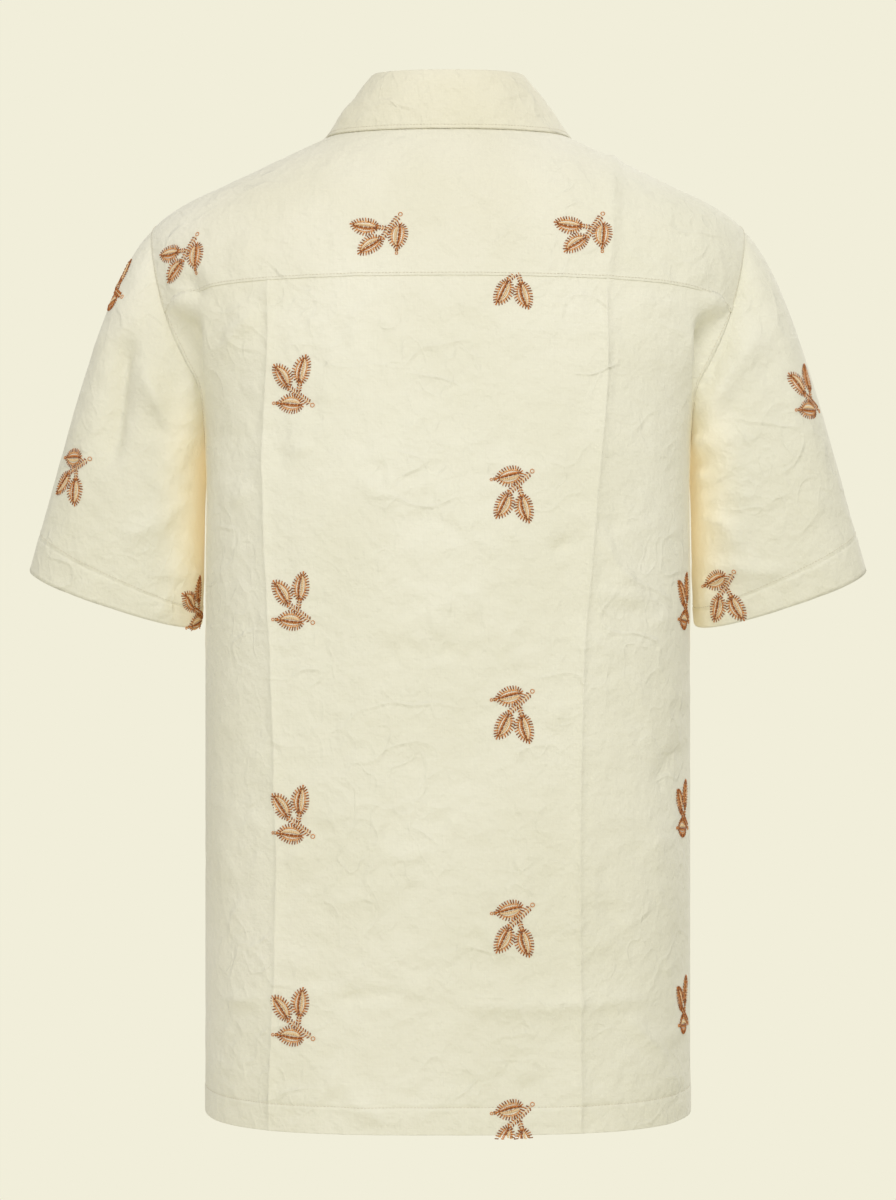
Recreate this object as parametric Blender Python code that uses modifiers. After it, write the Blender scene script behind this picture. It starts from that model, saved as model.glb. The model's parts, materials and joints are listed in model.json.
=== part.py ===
"""Short-sleeved shirt, filled out as it is worn and hollow inside.

Metres, +Z up. The wearer faces -Y and their left side is +X. The origin is the
middle of the neck, at the height where the shoulder line meets the neck.

The body is a stack of horizontal sections. A section is a superellipse with its
own half width, depth behind and depth in front. A point on the body is named by
its height and by its bearing: 0 degrees at the side, 90 at the centre back and
-90 at the centre front. Each panel is a patch between four edges drawn in
bearing and height, and the wall is the patch made solid inwards.
"""

import math

import bmesh
import bpy
import numpy as np

# Driving dimensions
WALL = 0.0013
HEM_WALL_FACTOR = 1.9
SEAM_GAP = 0.0005
HEM_HEIGHT = -0.758
HEM_TURN = 0.020
UNDERARM_HEIGHT = -0.262
YOKE_BACK_HEIGHT = -0.128
FRONT_NECK_HEIGHT = -0.070
YOKE_NECK_FRONT = -22.0
YOKE_NECK_CORNER = 40.0
YOKE_SEAM_SAG = 0.27
YOKE_SEAM_HOOK = 9
YOKE_SEAM_GAP_RISE = 1.4
YOKE_FRONT_SEAM_BOW = 0.97
LAP_HALF_WIDTH = 0.016
LAP_LIFT = WALL + 0.0009
LAP_SETTLED_FROM = 0.022
LAP_SETTLED_BY = 0.060
LAP_SINGLE_COLUMNS = 3
CUFF_TURN = 0.024
CUFF_CENTRE = (0.2590, -0.004, -0.3645)
CUFF_HALF_WIDTH = 0.0700
CUFF_HALF_DEPTH = 0.0500
CUFF_SLOPE = math.radians(18.1)
CUFF_FORWARD_TILT = math.radians(11.0)
CUFF_POWER = 2.5
CUFF_TUCK_UNDER = 0.20
SLEEVE_MEAN_LENGTH = 0.215
SLEEVE_CAP_FULLNESS = 0.53
SLEEVE_HANG = 0.80
SLEEVE_TURN_FLATTENING = 0.72
SLEEVE_BODY_CLEARANCE = 0.0022
SLEEVE_BODY_POWER = 3.0
SLEEVE_TOUCH_ABOVE = 0.012
SLEEVE_TOUCH_BELOW = 0.010
COLLAR_WALL = 0.0016
COLLAR_END = 87.5
COLLAR_SEAM_RISE = 1.5 * SEAM_GAP
COLLAR_FOLD_HALF = 0.0030
COLLAR_STAND_HOLLOW = 0.0008
COLLAR_FALL_CROWN = 0.0016
COLLAR_EDGE_CLEARANCE = 0.0012
BUTTON_RADIUS = 0.00575
BUTTON_THICKNESS = 0.0024
BUTTON_SEAT_GAP = 0.0003
BUTTON_COUNT = 6
BUTTON_TOP_HEIGHT = -0.092
BUTTON_PITCH = 0.098

# Horizontal sections of the body, from the neck down
SECTION_COLUMNS = ("height", "half_width", "back", "front", "power")
SECTIONS = (
    (0.006, 0.0604, 0.0480, 0.0130, 2.10),
    (0.000, 0.0730, 0.0555, 0.0200, 2.10),
    (-0.004, 0.0814, 0.0610, 0.0260, 2.10),
    (-0.013, 0.1004, 0.0740, 0.0365, 2.10),
    (-0.026, 0.1278, 0.0860, 0.0475, 2.12),
    (-0.045, 0.1678, 0.0970, 0.0590, 2.15),
    (-0.062, 0.2036, 0.1035, 0.0680, 2.20),
    (-0.078, 0.2262, 0.1090, 0.0765, 2.25),
    (-0.092, 0.2350, 0.1125, 0.0850, 2.30),
    (-0.110, 0.2392, 0.1165, 0.0950, 2.35),
    (-0.135, 0.2345, 0.1220, 0.1080, 2.40),
    (-0.160, 0.2265, 0.1268, 0.1180, 2.50),
    (-0.186, 0.2115, 0.1310, 0.1265, 2.60),
    (-0.205, 0.1985, 0.1340, 0.1320, 2.70),
    (-0.235, 0.1890, 0.1380, 0.1380, 2.85),
    (-0.262, 0.1870, 0.1410, 0.1430, 3.00),
    (-0.350, 0.1870, 0.1470, 0.1490, 3.00),
    (-0.500, 0.1870, 0.1500, 0.1500, 3.00),
    (-0.758, 0.1870, 0.1510, 0.1490, 3.00),
)

# The neck seam: bearing in degrees and height
NECK_COLUMNS = ("bearing", "height")
NECK = (
    (-90.0, FRONT_NECK_HEIGHT),
    (-72.0, -0.0620),
    (-50.0, -0.0430),
    (-22.0, -0.0155),
    (-8.0, -0.0042),
    (5.0, 0.0),
    (22.0, -0.0010),
    (45.0, -0.0025),
    (90.0, -0.0040),
)

# The armhole seam, once round from the underarm by the back
ARMHOLE_COLUMNS = ("place", "bearing", "height")
ARMHOLE = (
    ("underarm", 0.0, UNDERARM_HEIGHT),
    ("back low", 8.5, -0.2475),
    ("back low", 14.5, -0.2255),
    ("back fold", 17.1, -0.2050),
    ("back fold", 16.7, -0.1855),
    ("back fold", 16.1, -0.1665),
    ("yoke back", 15.2, -0.1500),
    ("blade", 14.2, -0.1350),
    ("blade", 12.6, -0.1100),
    ("cap back", 8.2, -0.0900),
    ("tip", 0.0, -0.0776),
    ("cap front", -6.5, -0.0865),
    ("yoke front", -9.5, -0.0950),
    ("chest", -13.5, -0.1180),
    ("chest", -16.0, -0.1450),
    ("chest", -17.5, -0.1750),
    ("chest", -17.0, -0.2050),
    ("front low", -14.0, -0.2280),
    ("front low", -8.5, -0.2480),
)

# The collar in half: where its seam, its fold and its lower edge are
COLLAR_COLUMNS = ("bearing", "fold_x", "fold_y", "fold_height", "edge_bearing", "edge_height")
COLLAR = (
    (-90.0, 0.0040, -0.0665, -0.0330, -66.0, -0.1120),
    (-72.0, 0.0190, -0.0620, -0.0270, -55.0, -0.0880),
    (-50.0, 0.0355, -0.0480, -0.0100, -43.0, -0.0610),
    (-22.0, 0.0515, -0.0220, 0.0200, -24.0, -0.0270),
    (0.0, 0.0565, 0.0030, 0.0350, 0.0, -0.0112),
    (20.0, 0.0548, 0.0230, 0.0372, 18.0, -0.0110),
    (45.0, 0.0430, 0.0440, 0.0360, 42.0, -0.0122),
    (70.0, 0.0220, 0.0560, 0.0350, 68.0, -0.0128),
    (90.0, 0.0000, 0.0590, 0.0347, 90.0, -0.0130),
)

# The collar's profile: each place from the seam over the fold, and how far along it lies
COLLAR_STOPS = (
    ("seam", 0.0),
    ("stand", 0.42),
    ("inner fold", 0.84),
    ("crown", 1.0),
    ("outer fold", 1.16),
    ("fall", 1.75),
    ("edge", 2.4),
)
COLLAR_ROWS = (0.0, 0.25, 0.5, 0.72, 0.84, 0.93, 1.0, 1.07, 1.16, 1.35, 1.7, 2.05, 2.4)

# How the sleeve's cloth sets out from the armhole: the top, the underarm, and what the
# front and the back add
SLEEVE_SET_COLUMNS = ("side", "outwards", "backwards", "upwards")
SLEEVE_SET = (
    ("top", 0.76, 0.0, -0.66),
    ("underarm", 0.10, 0.0, -0.60),
    ("front and back", 0.25, 0.0, -0.10),
    ("back", 0.0, 0.42, 0.0),
)

# The trough beside the back armhole: its crest's distance from the seam, and its depth
ARMHOLE_FOLD_LEAN = 0.85
ARMHOLE_FOLD_SHARPNESS = 1.5
ARMHOLE_FOLD_COLUMNS = ("height", "reach", "depth")
ARMHOLE_FOLD = (
    (-0.245, 0.010, 0.0000),
    (-0.222, 0.012, 0.0010),
    (-0.205, 0.017, 0.0050),
    (-0.188, 0.026, 0.0110),
    (-0.172, 0.036, 0.0160),
    (-0.160, 0.042, 0.0120),
    (-0.148, 0.046, 0.0000),
    (-0.128, 0.046, 0.0000),
)

# The largest folds: a soft ridge, or a trough where the rise is negative, along a line
# seen from behind
FOLD_COLUMNS = ("from_x", "from_height", "to_x", "to_height", "half_width", "rise")
FOLDS = (
    (0.136, -0.150, 0.131, -0.754, 0.012, 0.0030),
    (-0.118, -0.148, -0.097, -0.754, 0.012, 0.0030),
    (0.243, -0.156, 0.262, -0.273, 0.011, -0.0045),
    (0.237, -0.178, 0.214, -0.247, 0.012, 0.0040),
    (-0.243, -0.148, -0.200, -0.231, 0.012, 0.0045),
    (-0.226, -0.180, -0.205, -0.245, 0.011, -0.0035),
    (0.010, -0.655, -0.120, -0.662, 0.013, 0.0025),
    (-0.060, -0.420, -0.122, -0.398, 0.013, 0.0025),
)

# Grid counts
DENSE = 200
BROAD_SHARE = 0.80
COLUMNS_BROAD = 9
COLUMNS_NEAR_ARMHOLE = 7
ROWS_BELOW_UNDERARM = 13
ROWS_BACK_ARMHOLE = 7
ROWS_FRONT_ARMHOLE = 9
COLUMNS_YOKE_BLADE = 4
COLUMNS_YOKE_FRONT = 2
ROWS_YOKE = 7
ROWS_SLEEVE = 13
COLUMNS_COLLAR_HALF = 15
BUTTON_STEPS = 24

# Colours and roughness
CLOTH_COLOUR = (0.79, 0.76, 0.62, 1.0)
COLLAR_COLOUR = (0.82, 0.78, 0.62, 1.0)
BUTTON_COLOUR = (0.80, 0.74, 0.60, 1.0)
CLOTH_ROUGHNESS = 0.85
BUTTON_ROUGHNESS = 0.30


def rounded(at, places, values):
    """A smooth curve through the values: a cubic on each stretch with averaged slopes."""
    places = np.asarray(places, float)
    values = np.asarray(values, float)
    order = np.argsort(places)
    places, values = places[order], values[order]
    slopes = np.gradient(values, places)
    at = np.clip(at, places[0], places[-1])
    index = np.clip(np.searchsorted(places, at, side="right") - 1, 0, len(places) - 2)
    width = places[index + 1] - places[index]
    t = (at - places[index]) / width
    return (
        (2 * t**3 - 3 * t**2 + 1) * values[index]
        + (t**3 - 2 * t**2 + t) * width * slopes[index]
        + (3 * t**2 - 2 * t**3) * values[index + 1]
        + (t**3 - t**2) * width * slopes[index + 1]
    )


def column(table, names, name):
    place = names.index(name)
    return np.array([row[place] for row in table], float)


def section(height, name):
    """One column of the sections table at any height."""
    return rounded(
        height,
        column(SECTIONS, SECTION_COLUMNS, "height"),
        column(SECTIONS, SECTION_COLUMNS, name),
    )


def body_point(bearing, height):
    """The point of the body at a bearing and a height. Past -90 it is over the centre front."""
    bearing, height = np.broadcast_arrays(np.radians(bearing), np.asarray(height, float))
    across, along = np.cos(bearing), np.sin(bearing)
    depth = np.where(along > 0, section(height, "back"), section(height, "front"))
    power = section(height, "power")
    reach = (
        np.abs(across / section(height, "half_width")) ** power
        + np.abs(along / depth) ** power
    ) ** (-1 / power)
    return np.stack([reach * across, reach * along, height], axis=-1)


def body_normal(bearing, height):
    """The outward direction of the body there, from two small steps."""
    step = 0.05
    rise = 0.0003
    round_it = body_point(bearing + step, height) - body_point(bearing - step, height)
    up_it = body_point(bearing, height + rise) - body_point(bearing, height - rise)
    return unit(np.cross(round_it, up_it))


def unit(vectors):
    return vectors / np.linalg.norm(vectors, axis=-1, keepdims=True)


def evenly(bearings, heights, fractions):
    """The places at these fractions of the length of a line drawn on the body."""
    steps = np.linalg.norm(np.diff(body_point(bearings, heights), axis=0), axis=1)
    length = np.concatenate([[0.0], np.cumsum(steps)])
    wanted = np.asarray(fractions) * length[-1]
    return np.interp(wanted, length, bearings), np.interp(wanted, length, heights)


def station(place):
    """The last row of the armhole table with this place."""
    return max(i for i, row in enumerate(ARMHOLE) if row[0] == place)


def armhole_span(first, last, count):
    """Evenly spaced places on the armhole seam from one station to another."""
    closed = ARMHOLE + ARMHOLE[:1]
    index = np.arange(len(closed))
    at = np.linspace(first, last, DENSE)
    wrapped = np.concatenate([index[:-1] - len(ARMHOLE), index, index[1:] + len(ARMHOLE)])
    values = {}
    for name in ("bearing", "height"):
        once = column(closed, ARMHOLE_COLUMNS, name)
        values[name] = rounded(at, wrapped, np.concatenate([once[:-1], once, once[1:]]))
    return evenly(values["bearing"], values["height"], np.linspace(0, 1, count + 1))


def neck_height(bearings):
    """The height of the neck seam at these bearings."""
    return rounded(
        bearings, column(NECK, NECK_COLUMNS, "bearing"), column(NECK, NECK_COLUMNS, "height")
    )


def neck_span(first, last, count):
    """Evenly spaced places on the neck seam between two bearings."""
    bearings = np.linspace(first, last, DENSE)
    return evenly(bearings, neck_height(bearings), np.linspace(0, 1, count + 1))


def column_fractions():
    """Fractions from the centre to the armhole, close together near the armhole's fold."""
    broad = np.linspace(0.0, BROAD_SHARE, COLUMNS_BROAD + 1)
    near = np.linspace(BROAD_SHARE, 1.0, COLUMNS_NEAR_ARMHOLE + 1)
    return np.concatenate([broad, near[1:]])


def yoke_seam(fractions):
    """The seam of the yoke and the back, from the centre back to the armhole.

    It sags as a square of the way out, and its last stretch hooks down as a high power.
    """
    _, end_bearing, end_height = ARMHOLE[station("yoke back")]
    drop = end_height - YOKE_BACK_HEIGHT
    way = np.linspace(0, 1, DENSE)
    bearings = 90 + (end_bearing - 90) * way
    bearings, _ = evenly(bearings, np.full(DENSE, YOKE_BACK_HEIGHT), way)
    shape = YOKE_SEAM_SAG * way**2 + (1 - YOKE_SEAM_SAG) * way**YOKE_SEAM_HOOK
    return evenly(bearings, YOKE_BACK_HEIGHT + drop * shape, fractions)


def yoke_seam_gap(fractions):
    """The upright gap at the yoke seam, wider where the seam turns down at the armhole."""
    return SEAM_GAP * (1 + YOKE_SEAM_GAP_RISE * fractions**6)


def between(bottom, top, inner, outer, fractions, rises):
    """A patch between four edges, as bearings and heights: rows go up, columns outwards."""
    across = np.asarray(fractions)[None, :]
    up = np.asarray(rises)[:, None]
    patch = []
    for low, high, near, far in zip(bottom, top, inner, outer):
        corners = (
            (1 - across) * (1 - up) * low[0]
            + across * (1 - up) * low[-1]
            + (1 - across) * up * high[0]
            + across * up * high[-1]
        )
        edges = (1 - up) * low[None, :] + up * high[None, :]
        sides = (1 - across) * near[:, None] + across * far[:, None]
        patch.append(edges + sides - corners)
    return patch


def smooth_step(values, low, high):
    t = np.clip((values - low) / (high - low), 0.0, 1.0)
    return t * t * (3 - 2 * t)


def armhole_fold(points, normals):
    """The spare cloth of the back folds in beside the armhole: a trough along the seam.

    The trough is a cosine dip between the seam and the fold's crest, and the table
    says how far the crest is from the seam and how deep the dip is at each height.
    """
    steps = np.linalg.norm(np.diff(points, axis=1), axis=2)
    from_edge = np.cumsum(np.pad(steps, ((0, 0), (0, 1)))[:, ::-1], axis=1)[:, ::-1]
    heights = column(ARMHOLE_FOLD, ARMHOLE_FOLD_COLUMNS, "height")
    reach, depth = (
        rounded(points[..., 2], heights, column(ARMHOLE_FOLD, ARMHOLE_FOLD_COLUMNS, name))
        for name in ("reach", "depth")
    )
    share = np.clip(from_edge / reach, 0.0, 1.0)
    dip = np.sin(np.pi * share**ARMHOLE_FOLD_LEAN) ** ARMHOLE_FOLD_SHARPNESS
    return points - normals * (depth * dip)[..., None]


def grid_normals(points, wraps):
    """Outward directions on a grid, from the neighbours of each point."""
    if wraps:
        across = np.roll(points, -1, axis=1) - np.roll(points, 1, axis=1)
    else:
        across = np.gradient(points, axis=1)
    return unit(np.cross(across, np.gradient(points, axis=0)))


def inside_edges(rows, columns, wraps):
    """0 on the edges of a grid and 1 from the next point inwards, so that seams stay put."""
    share = np.ones((rows, columns))
    share[[0, -1]] = 0.0
    if not wraps:
        share[:, [0, -1]] = 0.0
    return share


def folded(points, wraps):
    """Raises the folds of the table along the outward direction, on the side seen from behind."""
    normals = grid_normals(points, wraps)
    facing = smooth_step(normals[..., 1], 0.0, 0.5) * inside_edges(*points.shape[:2], wraps)
    flat = points[..., [0, 2]]
    lift = np.zeros(points.shape[:2])
    for from_x, from_height, to_x, to_height, half_width, rise in FOLDS:
        start = np.array([from_x, from_height])
        line = np.array([to_x, to_height]) - start
        along = np.clip((flat - start) @ line / (line @ line), 0.0, 1.0)
        apart = np.linalg.norm(flat - start - along[..., None] * line, axis=-1)
        lift += rise * np.exp(-((apart / half_width) ** 2))
    return points + normals * (lift * facing)[..., None]


def body_rows(side_bearing, centre_bearing, heights, fractions):
    """Level rows below the underarm, from the centre to the side seam."""
    bearings = []
    for height in heights:
        way = np.linspace(centre_bearing(height), side_bearing, DENSE)
        bearings.append(evenly(way, np.full(DENSE, height), fractions)[0])
    return np.array(bearings)


def hem_rows():
    """Heights of the rows below the underarm, with one at the top of the turned hem."""
    above = np.linspace(HEM_HEIGHT + HEM_TURN, UNDERARM_HEIGHT, ROWS_BELOW_UNDERARM)
    return np.concatenate([[HEM_HEIGHT], above])


def half_grid(lower, upper):
    """Joins the rows below the underarm to the rows above it, without the shared one."""
    return [np.concatenate([low, high[1:]]) for low, high in zip(lower, upper)]


def side_gap():
    return math.degrees(SEAM_GAP / 2 / section(UNDERARM_HEIGHT, "half_width"))


def back_points():
    """The back panel from side seam to side seam."""
    fractions = column_fractions()
    heights = hem_rows()
    gap = side_gap()
    low = body_rows(gap, lambda height: 90.0, heights, fractions)
    low_heights = np.broadcast_to(heights[:, None], low.shape)
    rises = np.linspace(0, 1, ROWS_BACK_ARMHOLE + 1)
    outer = armhole_span(0, station("yoke back"), ROWS_BACK_ARMHOLE)
    outer[0][0] = gap
    top = yoke_seam(fractions)
    inner = (np.full(len(rises), 90.0), np.linspace(heights[-1], YOKE_BACK_HEIGHT, len(rises)))
    bottom = (low[-1], low_heights[-1])
    high = between(bottom, top, inner, outer, fractions, rises)
    bearings, levels = half_grid((low, low_heights), high)
    levels = levels.copy()
    levels[-1] -= yoke_seam_gap(fractions) / 2
    points = armhole_fold(body_point(bearings, levels), body_normal(bearings, levels))
    return folded(mirrored(points)[:, ::-1], False)


def mirrored(points):
    """A half from the centre outwards made whole, columns from -X to +X."""
    other = points[:, :0:-1] * np.array([-1.0, 1.0, 1.0])
    return np.concatenate([other, points], axis=1)


def front_points(laps_over):
    """The wearer's left front, from its lap past the centre to the side and armhole."""
    fractions = column_fractions()
    heights = hem_rows()
    gap = side_gap()

    def lap_bearing(height):
        return -90.0 - np.degrees(LAP_HALF_WIDTH / section(height, "front"))

    low = body_rows(-gap, lap_bearing, heights, fractions)
    low_heights = np.broadcast_to(heights[:, None], low.shape)
    rises = np.linspace(0, 1, ROWS_FRONT_ARMHOLE + 1)
    outer = armhole_span(len(ARMHOLE), station("yoke front"), ROWS_FRONT_ARMHOLE)
    outer[0][0] = -gap
    top = front_top(fractions)
    inner_heights = np.linspace(heights[-1], FRONT_NECK_HEIGHT, len(rises))
    inner = (lap_bearing(inner_heights), inner_heights)
    bottom = (low[-1], low_heights[-1])
    high = between(bottom, top, inner, outer, fractions, rises)
    bearings, levels = half_grid((low, low_heights), high)
    points = body_point(bearings, levels)
    if laps_over:
        points = points + body_normal(bearings, levels) * lap_lift(points)[..., None]
    else:
        points = points * np.array([-1.0, 1.0, 1.0])
        points = points[:, ::-1]
    return points


def lap_lift(points):
    """How far the left front stands off to lie over the right one, near the centre front."""
    settled = smooth_step(points[..., 0], LAP_SETTLED_FROM, LAP_SETTLED_BY)
    return LAP_LIFT * (1 - settled) * (points[..., 1] < 0)


def front_top(fractions):
    """The top of a front: the lap, the neck seam, then the seam with the yoke."""
    _, end_bearing, end_height = ARMHOLE[station("yoke front")]
    neck_bearings, neck_heights = neck_span(-90.0, YOKE_NECK_FRONT, DENSE)
    lap = -90.0 - math.degrees(LAP_HALF_WIDTH / section(FRONT_NECK_HEIGHT, "front"))
    share = np.linspace(0, 1, DENSE)[1:]
    seam_bearings = YOKE_NECK_FRONT + (end_bearing - YOKE_NECK_FRONT) * share
    bearings = np.concatenate([[lap], neck_bearings, seam_bearings])
    bowed = share**YOKE_FRONT_SEAM_BOW
    seam_heights = neck_heights[-1] + (end_height - neck_heights[-1]) * bowed
    heights = np.concatenate([[FRONT_NECK_HEIGHT], neck_heights, seam_heights])
    return evenly(bearings, heights, fractions)


def yoke_points():
    """The yoke from its left front seam, behind the neck, to its right front seam."""
    blade = armhole_span(station("tip"), station("yoke back"), COLUMNS_YOKE_BLADE)
    cap = armhole_span(station("yoke front"), station("tip"), COLUMNS_YOKE_FRONT)
    seam = yoke_seam(column_fractions()[::-1])
    outer = [np.concatenate([c, b[1:], s[1:]]) for c, b, s in zip(cap, blade, seam)]
    outer[1] = outer[1].copy()
    outer[1][-len(seam[0]) :] += yoke_seam_gap(column_fractions()[::-1]) / 2
    inner_bearings = np.concatenate(
        [
            np.linspace(YOKE_NECK_FRONT, 0.0, COLUMNS_YOKE_FRONT + 1),
            np.linspace(0.0, YOKE_NECK_CORNER, COLUMNS_YOKE_BLADE + 1)[1:],
            90 - (90 - YOKE_NECK_CORNER) * column_fractions()[-2::-1],
        ]
    )
    inner = (inner_bearings, neck_height(inner_bearings))
    across = np.linspace(0, 1, ROWS_YOKE + 1)[:, None]
    bearings = inner[0][None] * (1 - across) + outer[0][None] * across
    levels = inner[1][None] * (1 - across) + outer[1][None] * across
    points = body_point(bearings, levels)
    points[:, 0, 1] += SEAM_GAP
    return mirrored(points[:, ::-1])


def sleeve_points():
    """The wearer's left sleeve: rows from the armhole to the cuff, columns once round."""
    spans = (
        armhole_span(0, station("yoke back"), ROWS_BACK_ARMHOLE),
        armhole_span(station("yoke back"), station("tip"), COLUMNS_YOKE_BLADE),
        armhole_span(station("tip"), station("yoke front"), COLUMNS_YOKE_FRONT),
        armhole_span(station("yoke front"), len(ARMHOLE), ROWS_FRONT_ARMHOLE),
    )
    bearings = np.concatenate([span[0][:-1] for span in spans])
    heights = np.concatenate([span[1][:-1] for span in spans])
    start = body_point(bearings, heights)
    turned_share = CUFF_TURN / SLEEVE_MEAN_LENGTH
    along = np.append(np.linspace(0, 1 - turned_share, ROWS_SLEEVE), 1.0)
    return sleeve_surface(start, bearings, heights, along)


def turn_of(start):
    """Each armhole point's bearing round the sleeve, 0 at the top and 180 at the underarm."""
    centre = (start.max(axis=0) + start.min(axis=0)) / 2
    flattened = (start[:, 2] - centre[2]) * SLEEVE_TURN_FLATTENING
    return np.arctan2(start[:, 1] - centre[1], flattened)


def cuff_ring(turn):
    """The cuff's rounded oblong at these turns, and the direction in which the cloth ends."""
    out = np.array([math.cos(CUFF_SLOPE), 0.0, math.sin(CUFF_SLOPE)])
    back = np.array([0.0, math.cos(CUFF_FORWARD_TILT), -math.sin(CUFF_FORWARD_TILT)])
    across, along = np.cos(turn), np.sin(turn)
    reach = (np.abs(across) ** CUFF_POWER + np.abs(along) ** CUFF_POWER) ** (-1 / CUFF_POWER)
    ring = (
        np.array(CUFF_CENTRE)
        + out * (CUFF_HALF_WIDTH * reach * across)[:, None]
        + back * (CUFF_HALF_DEPTH * reach * along)[:, None]
    )
    return ring, np.cross(back, out)


def sleeve_surface(start, bearings, heights, along):
    """A smooth path from each point of the armhole to the matching point of the cuff.

    Each path is a cubic that sets out as the table says and ends square to the cuff.
    """
    turn = turn_of(start)
    end, down = cuff_ring(turn)
    top = (1 + np.cos(turn))[:, None] / 2
    rear = np.sin(turn)[:, None]
    at_top, at_underarm, at_sides, at_back = (np.array(row[1:]) for row in SLEEVE_SET)
    begin = top * at_top + (1 - top) * at_underarm + np.abs(rear) * at_sides + rear * at_back
    begin = unit(begin)
    finish = unit(down - (1 - top) * np.array([CUFF_TUCK_UNDER, 0.0, 0.0]))
    length = np.linalg.norm(end - start, axis=1)[:, None]
    start = start + begin * sleeve_gap(begin, bearings, heights)
    t = along[:, None, None]
    paths = (
        (2 * t**3 - 3 * t**2 + 1) * start
        + (t**3 - 2 * t**2 + t) * begin * length * SLEEVE_CAP_FULLNESS
        + (3 * t**2 - 2 * t**3) * end
        + (t**3 - t**2) * finish * length * SLEEVE_HANG
    )
    return clear_of_body(paths)


def sleeve_gap(begin, bearings, heights):
    """The seam's gap, wider where the sleeve drops below the shoulder's slope."""
    ridge = -np.sum(begin * body_normal(bearings, heights), axis=1)
    return (SEAM_GAP + WALL * np.clip(ridge, 0, 1))[:, None]


def clear_of_body(paths):
    """Keeps the sleeve's inner side just outside the body's side."""
    height = np.clip(paths[..., 2], HEM_HEIGHT, UNDERARM_HEIGHT)
    depth = np.where(paths[..., 1] > 0, section(height, "back"), section(height, "front"))
    inside = np.clip(1 - np.abs(paths[..., 1] / depth) ** SLEEVE_BODY_POWER, 0.0, 1.0)
    side = section(height, "half_width") * inside ** (1 / SLEEVE_BODY_POWER)
    first = -UNDERARM_HEIGHT - SLEEVE_TOUCH_ABOVE
    below = smooth_step(-paths[..., 2], first, -UNDERARM_HEIGHT + SLEEVE_TOUCH_BELOW)
    least = side + SLEEVE_BODY_CLEARANCE * below
    pushed = np.maximum(paths[..., 0], np.where(below > 0, least, paths[..., 0]))
    return np.stack([pushed, paths[..., 1], paths[..., 2]], axis=-1)


def collar_points():
    """The collar from the left end of the neck to the right, a profile on each column."""
    bearings, heights = neck_span(-COLLAR_END, 90.0, COLUMNS_COLLAR_HALF)
    key = column(COLLAR, COLLAR_COLUMNS, "bearing")
    row = {
        name: rounded(bearings, key, column(COLLAR, COLLAR_COLUMNS, name))
        for name in COLLAR_COLUMNS[1:]
    }
    rise = np.array([0.0, 0.0, 1.0])
    base = body_point(bearings, heights)
    base = base + body_normal(bearings, heights) * lap_lift(base)[:, None]
    base = base + rise * COLLAR_SEAM_RISE
    fold = np.stack([row["fold_x"], row["fold_y"], row["fold_height"]], axis=-1)
    edge = body_point(row["edge_bearing"], row["edge_height"])
    outward = body_normal(row["edge_bearing"], row["edge_height"])
    edge = edge + outward * (COLLAR_WALL + COLLAR_EDGE_CLEARANCE + lap_lift(edge)[:, None])
    across = unit((edge - base) * np.array([1.0, 1.0, 0.0]))
    inner_fold = fold - rise * COLLAR_FOLD_HALF
    outer_fold = fold + across * 2 * COLLAR_FOLD_HALF - rise * COLLAR_FOLD_HALF
    crown = fold + across * COLLAR_FOLD_HALF
    stand = (base + inner_fold) / 2 - across * COLLAR_STAND_HOLLOW
    fall = (outer_fold + edge) / 2 + outward * COLLAR_FALL_CROWN
    keys = np.stack([base, stand, inner_fold, crown, outer_fold, fall, edge])
    stops = [along for _, along in COLLAR_STOPS]
    profiles = [
        np.stack([rounded(COLLAR_ROWS, stops, keys[:, i, axis]) for axis in range(3)], axis=-1)
        for i in range(len(bearings))
    ]
    return mirrored(np.stack(profiles, axis=1)[:, ::-1])


def add_material(name, colour, roughness):
    material = bpy.data.materials.new(name)
    material.use_nodes = True
    shader = material.node_tree.nodes["Principled BSDF"]
    shader.inputs["Base Color"].default_value = colour
    shader.inputs["Roughness"].default_value = roughness
    shader.inputs["Metallic"].default_value = 0.0
    return material


def add_wall(name, points, wraps, material, thickness, thick_rows=(), thin_columns=0):
    """A grid of points made an open surface, then a solid wall on its inner side."""
    rows, columns = points.shape[:2]
    mesh = bpy.data.meshes.new(name)
    index = np.arange(rows * columns).reshape(rows, columns)
    right = np.roll(index, -1, axis=1) if wraps else index[:, 1:]
    left = index if wraps else index[:, :-1]
    faces = np.stack([left[:-1], right[:-1], right[1:], left[1:]], axis=-1).reshape(-1, 4)
    mesh.from_pydata(points.reshape(-1, 3).tolist(), [], faces.tolist())
    mesh.shade_smooth()
    mesh.materials.append(material)
    obj = bpy.data.objects.new(name, mesh)
    solid = obj.modifiers.new("wall", "SOLIDIFY")
    solid.thickness = thickness
    solid.offset = -1.0
    solid.use_even_offset = False
    if len(thick_rows):
        group = obj.vertex_groups.new(name="turned")
        whole = index.ravel().tolist()
        group.add(whole, 1.0 / HEM_WALL_FACTOR, "REPLACE")
        turned = index[list(thick_rows), thin_columns:]
        group.add(turned.ravel().tolist(), 1.0, "REPLACE")
        solid.thickness = thickness * HEM_WALL_FACTOR
        solid.vertex_group = group.name
    SHIRT.objects.link(obj)
    return obj


def add_button(number, mesh):
    """A button on the left front's outer face, its flat back to the cloth."""
    height = BUTTON_TOP_HEIGHT - BUTTON_PITCH * number
    surface = body_point(-90.0, height)
    normal = body_normal(-90.0, height)
    button = bpy.data.objects.new(f"button_{number + 1}", mesh)
    button.location = surface + normal * (LAP_LIFT + BUTTON_SEAT_GAP)
    button.rotation_euler = (math.radians(90) - math.asin(normal[2]), 0.0, 0.0)
    SHIRT.objects.link(button)


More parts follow.
